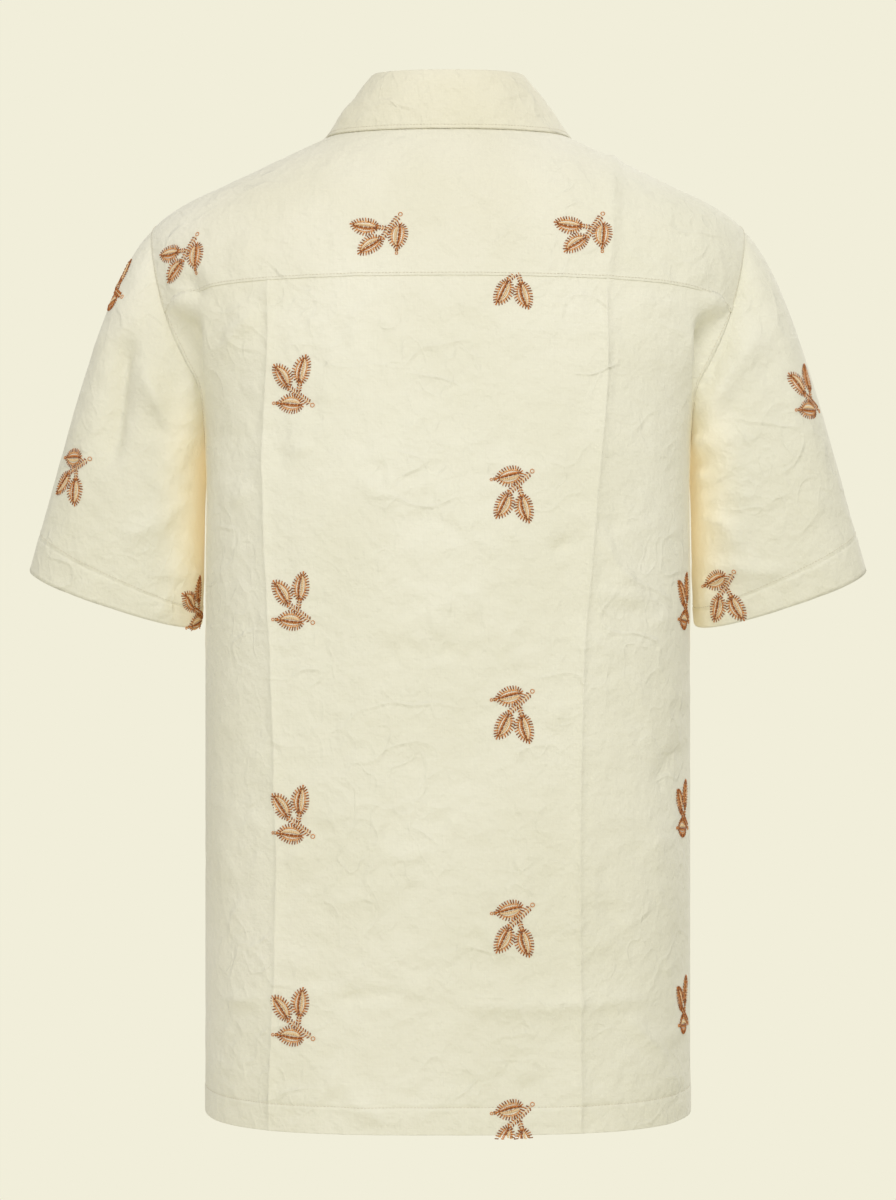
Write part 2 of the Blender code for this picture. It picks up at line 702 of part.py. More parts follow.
def button_mesh(material):
    """A turned disc with a raised rim and a dished face."""
    profile = (
        ("back centre", 0.0, 0.0),
        ("back edge", BUTTON_RADIUS - 0.0009, 0.0),
        ("side", BUTTON_RADIUS, 0.0009),
        ("rim", BUTTON_RADIUS - 0.0006, BUTTON_THICKNESS),
        ("rim inside", BUTTON_RADIUS - 0.0016, BUTTON_THICKNESS - 0.0001),
        ("dish", BUTTON_RADIUS - 0.0026, BUTTON_THICKNESS - 0.0007),
        ("front centre", 0.0, BUTTON_THICKNESS - 0.0007),
    )
    builder = bmesh.new()
    turned = [builder.verts.new((radius, 0.0, height)) for _, radius, height in profile]
    edges = [builder.edges.new(pair) for pair in zip(turned, turned[1:])]
    bmesh.ops.spin(
        builder,
        geom=turned + edges,
        axis=(0.0, 0.0, 1.0),
        cent=(0.0, 0.0, 0.0),
        steps=BUTTON_STEPS,
        angle=math.tau,
    )
    bmesh.ops.remove_doubles(builder, verts=builder.verts, dist=0.00001)
    bmesh.ops.recalc_face_normals(builder, faces=builder.faces)
    mesh = bpy.data.meshes.new("button")
    builder.to_mesh(mesh)
    builder.free()
    mesh.shade_smooth()
    mesh.set_sharp_from_angle(angle=math.radians(40))
    mesh.materials.append(material)
    return mesh


def main():
    for obj in list(bpy.data.objects):
        bpy.data.objects.remove(obj, do_unlink=True)
    bpy.context.scene.collection.children.link(SHIRT)

    cloth = {
        name: add_material(name, CLOTH_COLOUR, CLOTH_ROUGHNESS)
        for name in ("yoke", "back", "front_left", "front_right", "sleeve_left", "sleeve_right")
    }
    collar_cloth = add_material("collar", COLLAR_COLOUR, CLOTH_ROUGHNESS)
    button_shell = add_material("button", BUTTON_COLOUR, BUTTON_ROUGHNESS)

    hem = (0, 1)
    add_wall("back", back_points(), False, cloth["back"], WALL, hem)
    left = front_points(True)
    add_wall("front_left", left, False, cloth["front_left"], WALL, hem, LAP_SINGLE_COLUMNS)
    add_wall("front_right", front_points(False), False, cloth["front_right"], WALL, hem)
    add_wall("yoke", yoke_points(), False, cloth["yoke"], WALL)
    sleeve = sleeve_points()
    cuff = (ROWS_SLEEVE - 1, ROWS_SLEEVE)
    add_wall("sleeve_left", folded(sleeve, True), True, cloth["sleeve_left"], WALL, cuff)
    other = sleeve[:, ::-1] * np.array([-1.0, 1.0, 1.0])
    add_wall("sleeve_right", folded(other, True), True, cloth["sleeve_right"], WALL, cuff)
    add_wall("collar", collar_points(), False, collar_cloth, COLLAR_WALL)
    mesh = button_mesh(button_shell)
    for number in range(BUTTON_COUNT):
        add_button(number, mesh)


SHIRT = bpy.data.collections.new("embroidered_shirt")
main()
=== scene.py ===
"""The look of a short-sleeved shirt in cream cloth with stitched leaf sprigs.

Metres, +Z up. The wearer faces -Y, their left side is +X, and the camera stands
behind them. The body is a stack of horizontal superellipse sections: a point on it
is named by its height and by its bearing, 0 degrees at the side, 90 at the centre
back and -90 at the centre front. Every panel is a fine grid of points on that form,
raised or sunk by a table of folds and closed into a thin wall. Threads are small
rods with pointed ends, laid on the panels.
"""

import json
import math

import bpy
import numpy as np
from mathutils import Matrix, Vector

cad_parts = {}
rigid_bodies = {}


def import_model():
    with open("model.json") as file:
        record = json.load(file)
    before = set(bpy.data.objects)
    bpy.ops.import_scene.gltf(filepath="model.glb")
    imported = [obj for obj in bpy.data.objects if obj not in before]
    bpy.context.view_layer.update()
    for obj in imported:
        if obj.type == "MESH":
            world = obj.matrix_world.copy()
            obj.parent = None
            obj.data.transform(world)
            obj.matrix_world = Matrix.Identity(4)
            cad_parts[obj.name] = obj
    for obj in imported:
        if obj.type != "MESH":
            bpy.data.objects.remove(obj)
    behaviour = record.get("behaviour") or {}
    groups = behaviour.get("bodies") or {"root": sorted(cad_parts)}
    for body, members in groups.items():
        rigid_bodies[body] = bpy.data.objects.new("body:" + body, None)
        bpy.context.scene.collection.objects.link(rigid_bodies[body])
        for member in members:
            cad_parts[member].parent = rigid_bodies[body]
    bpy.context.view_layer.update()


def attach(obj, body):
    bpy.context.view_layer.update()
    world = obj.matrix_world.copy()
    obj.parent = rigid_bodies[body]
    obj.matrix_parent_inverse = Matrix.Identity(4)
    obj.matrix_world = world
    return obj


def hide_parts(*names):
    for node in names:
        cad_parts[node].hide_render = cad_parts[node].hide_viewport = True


# Sizes that the cloth shares with its solids
HEM_HEIGHT = -0.758
HEM_TURN = 0.020
HEM_SWELL = 0.00035
HEM_GROOVE = 0.00045
HEM_GROOVE_WIDTH = 0.0011
SIDE_SEAM_SINK = 0.0006
SIDE_SEAM_WIDTH = 0.0016
UNDERARM_HEIGHT = -0.262
YOKE_BACK_HEIGHT = -0.128
FRONT_NECK_HEIGHT = -0.070
YOKE_NECK_FRONT = -22.0
YOKE_SEAM_SAG = 0.27
YOKE_SEAM_HOOK = 9
YOKE_FRONT_SEAM_BOW = 0.97
LAP_HALF_WIDTH = 0.016
LAP_LIFT = 0.0022
LAP_SETTLED_FROM = 0.022
LAP_SETTLED_BY = 0.060
CUFF_TURN = 0.024
CUFF_CENTRE = (0.2590, -0.004, -0.3645)
CUFF_HALF_WIDTH = 0.0700
CUFF_HALF_DEPTH = 0.0500
CUFF_SLOPE = math.radians(18.1)
CUFF_FORWARD_TILT = math.radians(11.0)
CUFF_POWER = 2.5
CUFF_TUCK_UNDER = 0.20
SLEEVE_MEAN_LENGTH = 0.215
SLEEVE_CAP_FULLNESS = 0.53
SLEEVE_HANG = 0.80
SLEEVE_SEAM_SINK = 0.0005
SLEEVE_TURN_FLATTENING = 0.72
SLEEVE_BODY_CLEARANCE = 0.0022
SLEEVE_BODY_POWER = 3.0
SLEEVE_TOUCH_ABOVE = 0.012
SLEEVE_TOUCH_BELOW = 0.010
COLLAR_END = 87.5
COLLAR_FOLD_HALF = 0.0030
COLLAR_STAND_HOLLOW = 0.0008
COLLAR_FALL_CROWN = 0.0016
COLLAR_EDGE_STAND_OFF = 0.0013
BUTTON_COUNT = 6
BUTTON_TOP_HEIGHT = -0.092
BUTTON_PITCH = 0.098

# Sizes of the finish
CLOTH_THICKNESS = 0.0007
COLLAR_THICKNESS = 0.0012
TUCK = 0.0040
TUCK_DEPTH = 0.0012
EDGE_LIFT = 0.0004

# Horizontal sections of the body, from the neck down
SECTION_COLUMNS = ("height", "half_width", "back", "front", "power")
SECTIONS = (
    (0.006, 0.0604, 0.0480, 0.0130, 2.10),
    (0.000, 0.0730, 0.0555, 0.0200, 2.10),
    (-0.004, 0.0814, 0.0610, 0.0260, 2.10),
    (-0.013, 0.1004, 0.0740, 0.0365, 2.10),
    (-0.026, 0.1278, 0.0860, 0.0475, 2.12),
    (-0.045, 0.1678, 0.0970, 0.0590, 2.15),
    (-0.062, 0.2036, 0.1035, 0.0680, 2.20),
    (-0.078, 0.2262, 0.1090, 0.0765, 2.25),
    (-0.092, 0.2350, 0.1125, 0.0850, 2.30),
    (-0.110, 0.2392, 0.1165, 0.0950, 2.35),
    (-0.135, 0.2345, 0.1220, 0.1080, 2.40),
    (-0.160, 0.2265, 0.1268, 0.1180, 2.50),
    (-0.186, 0.2115, 0.1310, 0.1265, 2.60),
    (-0.205, 0.1985, 0.1340, 0.1320, 2.70),
    (-0.235, 0.1890, 0.1380, 0.1380, 2.85),
    (-0.262, 0.1870, 0.1410, 0.1430, 3.00),
    (-0.350, 0.1870, 0.1470, 0.1490, 3.00),
    (-0.500, 0.1870, 0.1500, 0.1500, 3.00),
    (-0.758, 0.1870, 0.1510, 0.1490, 3.00),
)

# The neck seam: bearing in degrees and height
NECK_COLUMNS = ("bearing", "height")
NECK = (
    (-90.0, FRONT_NECK_HEIGHT),
    (-72.0, -0.0620),
    (-50.0, -0.0430),
    (-22.0, -0.0155),
    (-8.0, -0.0042),
    (5.0, 0.0),
    (22.0, -0.0010),
    (45.0, -0.0025),
    (90.0, -0.0040),
)

# The armhole seam, once round from the underarm by the back
ARMHOLE_COLUMNS = ("place", "bearing", "height")
ARMHOLE = (
    ("underarm", 0.0, UNDERARM_HEIGHT),
    ("back low", 8.5, -0.2475),
    ("back low", 14.5, -0.2255),
    ("back fold", 17.1, -0.2050),
    ("back fold", 16.7, -0.1855),
    ("back fold", 16.1, -0.1665),
    ("yoke back", 15.2, -0.1500),
    ("blade", 14.2, -0.1350),
    ("blade", 12.6, -0.1100),
    ("cap back", 8.2, -0.0900),
    ("tip", 0.0, -0.0776),
    ("cap front", -6.5, -0.0865),
    ("yoke front", -9.5, -0.0950),
    ("chest", -13.5, -0.1180),
    ("chest", -16.0, -0.1450),
    ("chest", -17.5, -0.1750),
    ("chest", -17.0, -0.2050),
    ("front low", -14.0, -0.2280),
    ("front low", -8.5, -0.2480),
)

# The collar in half: where its seam, its fold and its lower edge are
COLLAR_COLUMNS = ("bearing", "fold_x", "fold_y", "fold_height", "edge_bearing", "edge_height")
COLLAR = (
    (-90.0, 0.0040, -0.0665, -0.0330, -66.0, -0.1120),
    (-72.0, 0.0190, -0.0620, -0.0270, -55.0, -0.0880),
    (-50.0, 0.0355, -0.0480, -0.0100, -43.0, -0.0610),
    (-22.0, 0.0515, -0.0220, 0.0200, -24.0, -0.0270),
    (0.0, 0.0565, 0.0030, 0.0350, 0.0, -0.0112),
    (20.0, 0.0548, 0.0230, 0.0372, 18.0, -0.0110),
    (45.0, 0.0430, 0.0440, 0.0360, 42.0, -0.0122),
    (70.0, 0.0220, 0.0560, 0.0350, 68.0, -0.0128),
    (90.0, 0.0000, 0.0590, 0.0347, 90.0, -0.0130),
)

# The collar's profile: each place from the seam over the fold, and how far along it lies
COLLAR_STOPS = (
    ("seam", 0.0),
    ("stand", 0.42),
    ("inner fold", 0.84),
    ("crown", 1.0),
    ("outer fold", 1.16),
    ("fall", 1.75),
    ("edge", 2.4),
)

# How the sleeve's cloth sets out from the armhole, as outwards, backwards and upwards: at the
# top, at the underarm, and what the front and the back add
SLEEVE_SET = (
    ("top", 0.76, 0.0, -0.66),
    ("underarm", 0.10, 0.0, -0.60),
    ("front and back", 0.25, 0.0, -0.10),
    ("back", 0.0, 0.42, 0.0),
)

# The trough beside the back armhole: its crest's distance from the seam, and its depth
ARMHOLE_FOLD_LEAN = 0.85
ARMHOLE_FOLD_SHARPNESS = 1.5
ARMHOLE_FOLD_COLUMNS = ("height", "reach", "depth")
ARMHOLE_FOLD = (
    (-0.245, 0.010, 0.0000),
    (-0.222, 0.012, 0.0010),
    (-0.205, 0.017, 0.0050),
    (-0.188, 0.026, 0.0110),
    (-0.172, 0.036, 0.0160),
    (-0.160, 0.042, 0.0120),
    (-0.148, 0.046, 0.0000),
    (-0.128, 0.046, 0.0000),
)

# Grid counts
DENSE = 200
HALF_COLUMNS = 88
BODY_ROWS = 150
ARMHOLE_ROWS_BACK = 36
ARMHOLE_ROWS_FRONT = 52
YOKE_ROWS = 48
YOKE_CAP_COLUMNS = 12
YOKE_BLADE_COLUMNS = 26
YOKE_EDGE_SHARES = np.array([0.975, 0.983, 0.990, 0.996, 1.0])
YOKE_NECK_CORNER = 40.0
SLEEVE_ROWS = 66
COLLAR_HALF_COLUMNS = 70
COLLAR_STAND_ROWS = 13
COLLAR_FOLD_ROWS = 12
COLLAR_FALL_ROWS = 30
HEM_ROW_STEPS = (-0.0026, -0.0013, -0.0006, 0.0, 0.0006, 0.0013, 0.0026)
CUFF_ROW_SHARES = (-0.012, -0.006, -0.003, 0.0, 0.003, 0.006, 0.012)
MIRROR = np.array([-1.0, 1.0, 1.0])

# Creases seen from behind: half width, rise, power of the section, then the places that the
# line passes as x and height, all in millimetres. A negative rise is a trough.
PRESSED_LEFT = (
    134, -120, 133, -184, 136, -258, 134, -331, 130, -394,
    127, -486, 125, -560, 127, -651, 132, -770,
)
PRESSED_RIGHT = (
    -118, -120, -117, -206, -112, -258, -107, -314, -103, -360,
    -99, -405, -97, -486, -96, -559, -97, -770,
)
BACK_CREASES = (
    (10, 0.9, 2, (136, -150, 131, -754)),
    (11, 1.2, 2, (-118, -148, -97, -754)),
    (2.6, 2.59, 1, PRESSED_LEFT),
    (3.0, 3.02, 1, PRESSED_RIGHT),
    (5, 4.94, 1, (-134, 63, -119, -128, -119, -140)),
    (5, 3.81, 1.3, (-107, -314, -138, -361, -152, -368)),
    (6, -4.58, 1.3, (-92, -320, -74, -336)),
    (7, 3.04, 1.4, (-85, -302, -107, -314)),
    (6, 3.42, 1.4, (-92, -361, -111, -364, -158, -368)),
    (5, 3.42, 1.3, (175, -666, 127, -662)),
    (6, -3.81, 1.3, (94, -663, 60, -657, 20, -652)),
    (6, 3.42, 1.3, (0, -662, -66, -667, -97, -663, -162, -663)),
    (6, 4.19, 1.3, (138, -147, 171, -181)),
    (5, 3.04, 1.3, (145, -283, 162, -298)),
    (6, 3.04, 1.3, (119, -263, 94, -252)),
    (6, 2.67, 1.4, (94, -199, 85, -228)),
    (6, 3.04, 1.4, (96, -592, 52, -583)),
    (6, 3.04, 1.4, (53, -555, 0, -552)),
    (6, 3.42, 1.4, (79, -728, 57, -741, 38, -757)),
    (6, -4.19, 1.3, (-175, -475, -151, -511)),
    (6, 4.19, 1.3, (-125, -669, -166, -710)),
    (6, 3.04, 1.4, (-86, -438, -74, -464)),
    (6, 2.67, 1.4, (-169, -375, -147, -390)),
    (14, 1.2, 2, (-20, -38, -24, -82)),
    (8, -5.1, 1.6, (199, -118, 183, -148)),
    (9, -2.04, 1.6, (-184, -368, -178, -560, -182, -743)),
    (20, 1.4, 2, (40, -230, 55, -420, 40, -600)),
    (18, -1.2, 2, (85, -320, 92, -520, 84, -720)),
    (16, -1.1, 2, (-45, -190, -40, -330)),
    (18, 1.0, 2, (-50, -430, -56, -640)),
)
FRONT_CREASES = (
    (5, 1.87, 1, (104, -110, 103, -260, 106, -420, 104, -600, 107, -756)),
    (5, 1.87, 1, (-104, -110, -101, -260, -104, -420, -107, -600, -104, -756)),
    (6, 1.7, 1.3, (150, -300, 128, -318)),
    (6, 1.53, 1.3, (60, -640, 104, -648, 150, -646)),
    (6, 1.53, 1.3, (-50, -655, -104, -650, -148, -655)),
    (6, 1.53, 1.4, (-140, -280, -112, -312)),
    (6, -1.53, 1.4, (64, -395, 92, -412)),
    (6, 1.36, 1.4, (-40, -470, -78, -488)),
    (14, 1.2, 2, (55, -210, 62, -420, 50, -600)),
    (14, -1.1, 2, (-60, -230, -52, -420, -62, -640)),
    (8, -2.04, 1.6, (172, -330, 176, -560, 172, -720)),
    (8, -2.04, 1.6, (-172, -330, -176, -560, -172, -720)),
)
SLEEVE_CREASES = (
    (11, -4.5, 2, (243, -156, 262, -273)),
    (12, 4.0, 2, (237, -178, 214, -247)),
    (12, 4.5, 2, (-243, -148, -200, -231)),
    (11, -3.5, 2, (-226, -180, -205, -245)),
    (6, -6.1, 1.4, (236, -162, 246, -184, 252, -239, 256, -276)),
    (6, 5.33, 1.4, (232, -184, 210, -250)),
    (7, -4.58, 1.5, (228, -214, 212, -250)),
    (6, 3.42, 1.4, (254, -324, 207, -303)),
    (6, 3.81, 1.4, (208, -338, 188, -350)),
    (8, 2.72, 1.5, (-237, -155, -192, -236)),
    (8, -2.38, 1.5, (-218, -162, -186, -217)),
    (5, 4.58, 1.4, (-186, -243, -200, -250)),
    (5, 4.19, 1.4, (-184, -269, -202, -276)),
    (6, 4.19, 1.4, (-185, -302, -208, -309, -227, -325)),
    (6, 3.42, 1.4, (-185, -328, -208, -342, -237, -346, -267, -342)),
)
SLEEVE_FRONT_CREASES = (
    (12, -3.5, 2, (240, -160, 256, -273)),
    (12, 3.5, 2, (232, -182, 212, -250)),
    (12, 3.5, 2, (-240, -156, -204, -245)),
    (11, -3.0, 2, (-228, -190, -208, -255)),
    (6, 4.19, 1.4, (250, -320, 208, -300)),
    (6, 4.19, 1.4, (-190, -300, -232, -322)),
)

# Creases: where the cloth counts as turned to the back, how far a crease fades at its ends as
# a share and in metres, and how it fades beside the armhole seam
TURNED_BACK = (-0.1, 0.45)
CREASE_FADE_SHARE = 0.4
CREASE_FADE_MOST = 0.030
ARMHOLE_FADE = (0.0005, 0.010)

# Small crumples, in millimetres: half lengths, half widths, bow, sharpness and the draws' seeds
CRUMPLE_HALF_LENGTHS = (5, 18)
CRUMPLE_HALF_WIDTHS = (4.2, 6.8)
CRUMPLE_BOW = 0.3
CRUMPLE_SHARPNESS = 1.3
BACK_SEED = 5
FRONT_SEED = 8
SLEEVE_SEEDS = ((12, 1.0), (14, -1.0))
COLLAR_SEED = 21

# Zones with a small crumple: middle x and height, reach across and up, in millimetres, the
# number of small creases and their rise
CRUMPLES = (
    (0, -440, 190, 320, 460, 0.9),
    (0, -345, 60, 85, 110, 1.44),
    (20, -600, 100, 80, 90, 1.34),
    (-140, -480, 45, 180, 70, 1.24),
    (60, -210, 100, 65, 60, 1.06),
    (150, -400, 40, 190, 60, 1.15),
    (0, -75, 200, 50, 110, 0.86),
    (0, -160, 170, 22, 70, 1.24),
    (0, -725, 180, 26, 120, 1.06),
)
SLEEVE_CRUMPLES = (
    (250, -260, 70, 120, 150, 0.96),
    (-250, -260, 70, 120, 150, 0.96),
    (200, -290, 18, 90, 40, 1.44),
    (-200, -290, 18, 90, 40, 1.44),
)
COLLAR_CRUMPLES = ((0, 12, 90, 24, 60, 0.5),)

# Stitched sprigs, in the photograph's pixels of 0.735 mm from the middle of the sprig, x right
# and y down. A stitch is its thickness and how many thicknesses it stands proud of the cloth.
SPRIG_PIXEL = 0.000735
SPRIG_REACH = 0.026
EDGE_GAP = 0.0030
PATCH_REACH = 0.048
FRINGE = 13
FRINGE_LENGTH = 4.7
FRINGE_LEAN = 0.20
FRINGE_STITCH = (1.15, 0.42)
LEAF_UNDERLAY = (3.0, -0.24)
INNER_ROW_STITCH = (0.80, 0.42)
SATIN_STITCH = (1.55, 0.30)
VEIN_STITCH = (1.90, 0.42)
STEM_STITCH = (1.30, 0.42)
STEM_UNDERLAY = (3.0, -0.30)
RING_STITCH = (0.9, 0.42)

# Leaves: base, tip, width and bow
LEAVES = (
    (-1.2, 5.8, -19.0, -20.0, 19.5, 1.5),
    (9.9, 1.8, 13.6, -29.0, 20.0, -1.5),
    (15.2, 22.6, -14.4, 19.6, 21.5, 1.0),
)

# Stems: start, end, number of stitches and how far they reach to each side
STEMS = (
    (-2.0, 4.6, 21.4, 20.8, 10, 3.5),
    (9.9, -1.0, 8.4, 9.5, 4, 2.8),
    (-13.4, 19.6, -16.6, 19.6, 2, 1.6),
)

# Rings: middle and radius
RINGS = ((23.6, 22.4, 2.1), (-17.8, 19.6, 1.4))

# Where the sprigs of the body are. A column of them keeps one of three kinds of heights, of
# which kind 1 is flipped upside down and turned a little. Columns: panel, length round from
# the centre back with the wearer's left positive, and kind.
BODY_SPRIG_HEIGHTS = (
    (-0.2080, -0.3680, -0.5245, -0.6725),
    (-0.1345, -0.2923, -0.4533, -0.6091, -0.7545),
    (-0.3680, -0.5245, -0.6725),
)
FLIPPED_KIND = 1
FLIPPED_SPRIG_TURN = 8.0
BODY_SPRIG_COLUMNS = (
    ("back", 0.1170, 0),
    ("back", -0.0467, 1),
    ("back", -0.2065, 2),
    ("front_left", 0.3250, 1),
    ("front_left", 0.4890, 0),
    ("front_right", -0.3787, 1),
    ("front_right", -0.5432, 0),
)

# The other sprigs: panel, x and height in metres, turn in degrees seen from outside, whether
# it is flipped upside down, and 1 at the back or -1 at the front
OTHER_SPRIGS = (
    ("yoke", 0.0530, -0.0990, 90, False, 1),
    ("yoke", -0.1003, -0.0976, 90, False, 1),
    ("yoke", 0.2025, -0.1112, 100, False, 1),
    ("sleeve_left", 0.2535, -0.1260, 20, False, 1),
    ("sleeve_left", 0.2891, -0.2725, -8, True, 1),
    ("sleeve_left", 0.1960, -0.3720, 20, False, 1),
    ("sleeve_left", 0.2340, -0.2050, -20, False, -1),
    ("sleeve_left", 0.2860, -0.3250, -20, True, -1),
    ("sleeve_right", -0.2715, -0.2078, 5, False, 1),
    ("sleeve_right", -0.2115, -0.3672, 18, True, 1),
    ("sleeve_right", -0.2300, -0.1750, 20, True, -1),
    ("sleeve_right", -0.2740, -0.3150, 20, False, -1),
)

# Thread colours, as the material reads them from each stitch
COPPER = (0.600, 0.215, 0.045)
COPPER_DARK = (0.315, 0.097, 0.020)
COPPER_PALE = (0.720, 0.300, 0.085)
PEACH = (0.880, 0.560, 0.260)
SHELL = (0.940, 0.730, 0.430)
CREAM = (0.800, 0.765, 0.610)

# Cloth colours, light and surroundings
CLOTH_COLOUR = (0.805, 0.775, 0.645)
COLLAR_COLOUR = (0.782, 0.745, 0.592)
GREENISH_CREAM = (0.775, 0.775, 0.620)
SLUB = (0.700, 0.665, 0.520)
# Painted light: a lighter warm tone mixed in where the sleeve and body's side meet, standing in for
# warm bounce light in that crevice's shade
PAINTED_WARM_SHADE = (0.960, 0.820, 0.520)
WEAVE_PITCH = 0.0009
FIBRE_SHADE = (0.62, 0.48, 0.40, 1.0)
PAINTED_WARM_SHADE_SHARE = 0.30
# A painted glow of warm bounce light in that crevice, given by emission
PAINTED_WARM_GLOW = (1.0, 0.82, 0.54, 1.0)
PAINTED_WARM_GLOW_STRENGTH = 0.19
PEARL_DEEP = (0.72, 0.66, 0.52, 1.0)
PEARL_PALE = (0.86, 0.81, 0.70, 1.0)
# The two tones of the painted shade in a button's holes
HOLE_SHADE_DEEP = (0.10, 0.08, 0.06, 1.0)
HOLE_SHADE_PALE = (0.16, 0.13, 0.10, 1.0)
FLOOR_DEEP = (0.77, 0.75, 0.62, 1.0)
FLOOR_PALE = (0.80, 0.78, 0.65, 1.0)
BACKDROP = (0.880, 0.855, 0.701, 1.0)
SURROUND = (1.0, 0.985, 0.955, 1.0)
GLOW = 0.66
CAMERA_PLACE = (0.0, 2.3, -0.368)
CAMERA_LENS = 88.5
SHIRT_MIDDLE = (0.0, 0.0, -0.38)
KEY_SIZE = 0.9
KEY_PLACE = (-0.45, 1.7, 1.6)
KEY_WATTS = 19.5
FILL_PLACE = (0.7, 2.9, -0.4)
FILL_WATTS = 16.0
FILL_SIZE = 1.2
FRONT_PLACE = (-1.3, -2.3, 0.9)
FRONT_WATTS = 30.0
FRONT_SIZE = 1.8
FLOOR_RADIUS = 2.6
FLOOR_HEIGHT = -1.45
FLOOR_CORNERS = 96

# A stitch's ends: how far in its rings lie as a share, and how deep its tips as half thicknesses
STITCH_END_SHARE = 0.20
STITCH_SINK = 0.15

# Threads: the topstitching, its pitch and the share of it that shows, the buttons' and the
# buttonholes'
SEAM_THREAD = 0.00042
SEAM_PITCH = 0.0026
SEAM_SHARE = 0.74
BUTTON_THREAD = 0.00046
BUTTONHOLE_THREAD = 0.00048

# The buttons' sewing: the face's height, the four holes as dark discs of painted shade, and the
# crossing threads
BUTTON_FACE = 0.0020
HOLE_SPREAD = 0.00115
HOLE_RADIUS = 0.00055
HOLE_CORNERS = 12
HOLE_LIFT = 0.00004
THREAD_SHIFT = 0.00022
THREAD_LIFT = 0.00015

# A buttonhole: its stitches' number to a side and pitch, their inner and outer ends, and bars
SLIT_STITCHES = 31
SLIT_PITCH = 0.00052
SLIT_INNER = 0.00025
SLIT_OUTER = 0.00170
SLIT_SLANT = 0.0001
BAR_HEIGHT = 0.0084
BAR_STEP = 0.0004


def cubic(t, start, leaving, end, arriving):
    """The cubic from one value to another as t goes from 0 to 1, with its slopes at both."""
    return (
        (2 * t**3 - 3 * t**2 + 1) * start
        + (t**3 - 2 * t**2 + t) * leaving
        + (3 * t**2 - 2 * t**3) * end
        + (t**3 - t**2) * arriving
    )


def rounded(at, places, values):
    """A smooth curve through the values: a cubic on each stretch with averaged slopes."""
    places = np.asarray(places, float)
    values = np.asarray(values, float)
    order = np.argsort(places)
    places, values = places[order], values[order]
    slopes = np.gradient(values, places)
    at = np.clip(at, places[0], places[-1])
    index = np.clip(np.searchsorted(places, at, side="right") - 1, 0, len(places) - 2)
    width = places[index + 1] - places[index]
    t = (at - places[index]) / width
    leaving, arriving = width * slopes[index], width * slopes[index + 1]
    return cubic(t, values[index], leaving, values[index + 1], arriving)


def column(table, names, name):
    """One named column of a table."""
    place = names.index(name)
    return np.array([row[place] for row in table], float)


def running_length(line):
    """The length along a line of points, from 0 at its start."""
    steps = np.linalg.norm(np.diff(line, axis=0), axis=1)
    return np.concatenate([[0.0], np.cumsum(steps)])


def curve(table, names, name, at):
    """A smooth curve through one column of a table, read against its first column."""
    return rounded(at, column(table, names, names[0]), column(table, names, name))


def section(height, name):
    """One column of the sections table at any height."""
    return curve(SECTIONS, SECTION_COLUMNS, name, height)


def body_point(bearing, height):
    """The point of the body there: on a superellipse, |x/a|^p + |y/b|^p = 1."""
    bearing, height = np.broadcast_arrays(np.radians(bearing), np.asarray(height, float))
    across, along = np.cos(bearing), np.sin(bearing)
    depth = np.where(along > 0, section(height, "back"), section(height, "front"))
    power = section(height, "power")
    reach = (
        np.abs(across / section(height, "half_width")) ** power
        + np.abs(along / depth) ** power
    ) ** (-1 / power)
    return np.stack([reach * across, reach * along, height], axis=-1)


def body_normal(bearing, height):
    """The outward direction of the body there, from two small steps."""
    step = 0.05
    rise = 0.0003
    round_it = body_point(bearing + step, height) - body_point(bearing - step, height)
    up_it = body_point(bearing, height + rise) - body_point(bearing, height - rise)
    return unit(np.cross(round_it, up_it))


def unit(vectors):
    """The vectors at length 1."""
    return vectors / np.maximum(np.linalg.norm(vectors, axis=-1, keepdims=True), 1e-12)


def smooth_step(values, low, high):
    """0 up to the low value, 1 from the high one, and a smooth cubic rise between them."""
    t = np.clip((values - low) / (high - low), 0.0, 1.0)
    return t * t * (3 - 2 * t)


def evenly(bearings, heights, fractions):
    """The places at these fractions of the length of a line drawn on the body."""
    length = running_length(body_point(bearings, heights))
    wanted = np.asarray(fractions) * length[-1]
    return np.interp(wanted, length, bearings), np.interp(wanted, length, heights)


def station(place):
    """The last row of the armhole table with this place."""
    return max(i for i, row in enumerate(ARMHOLE) if row[0] == place)


def armhole_span(first, last, count):
    """Evenly spaced places on the armhole seam from one station to another."""
    closed = ARMHOLE + ARMHOLE[:1]
    index = np.arange(len(closed))
    at = np.linspace(first, last, DENSE)
    wrapped = np.concatenate([index[:-1] - len(ARMHOLE), index, index[1:] + len(ARMHOLE)])
    values = {}
    for name in ("bearing", "height"):
        once = column(closed, ARMHOLE_COLUMNS, name)
        values[name] = rounded(at, wrapped, np.concatenate([once[:-1], once, once[1:]]))
    return evenly(values["bearing"], values["height"], np.linspace(0, 1, count + 1))


def neck_height(bearings):
    """The height of the neck seam at any bearing."""
    return curve(NECK, NECK_COLUMNS, "height", bearings)


def neck_span(first, last, fractions):
    """Places on the neck seam between two bearings, at these fractions of its length."""
    bearings = np.linspace(first, last, DENSE)
    return evenly(bearings, neck_height(bearings), fractions)


def yoke_seam(fractions):
    """The seam of the yoke and the back, from the centre back to the armhole.

    It sags as a square of the way out, and its last stretch hooks down as a high power.
    """
    _, end_bearing, end_height = ARMHOLE[station("yoke back")]
    drop = end_height - YOKE_BACK_HEIGHT
    way = np.linspace(0, 1, DENSE)
    bearings = 90 + (end_bearing - 90) * way
    bearings, _ = evenly(bearings, np.full(DENSE, YOKE_BACK_HEIGHT), way)
    shape = YOKE_SEAM_SAG * way**2 + (1 - YOKE_SEAM_SAG) * way**YOKE_SEAM_HOOK
    return evenly(bearings, YOKE_BACK_HEIGHT + drop * shape, fractions)


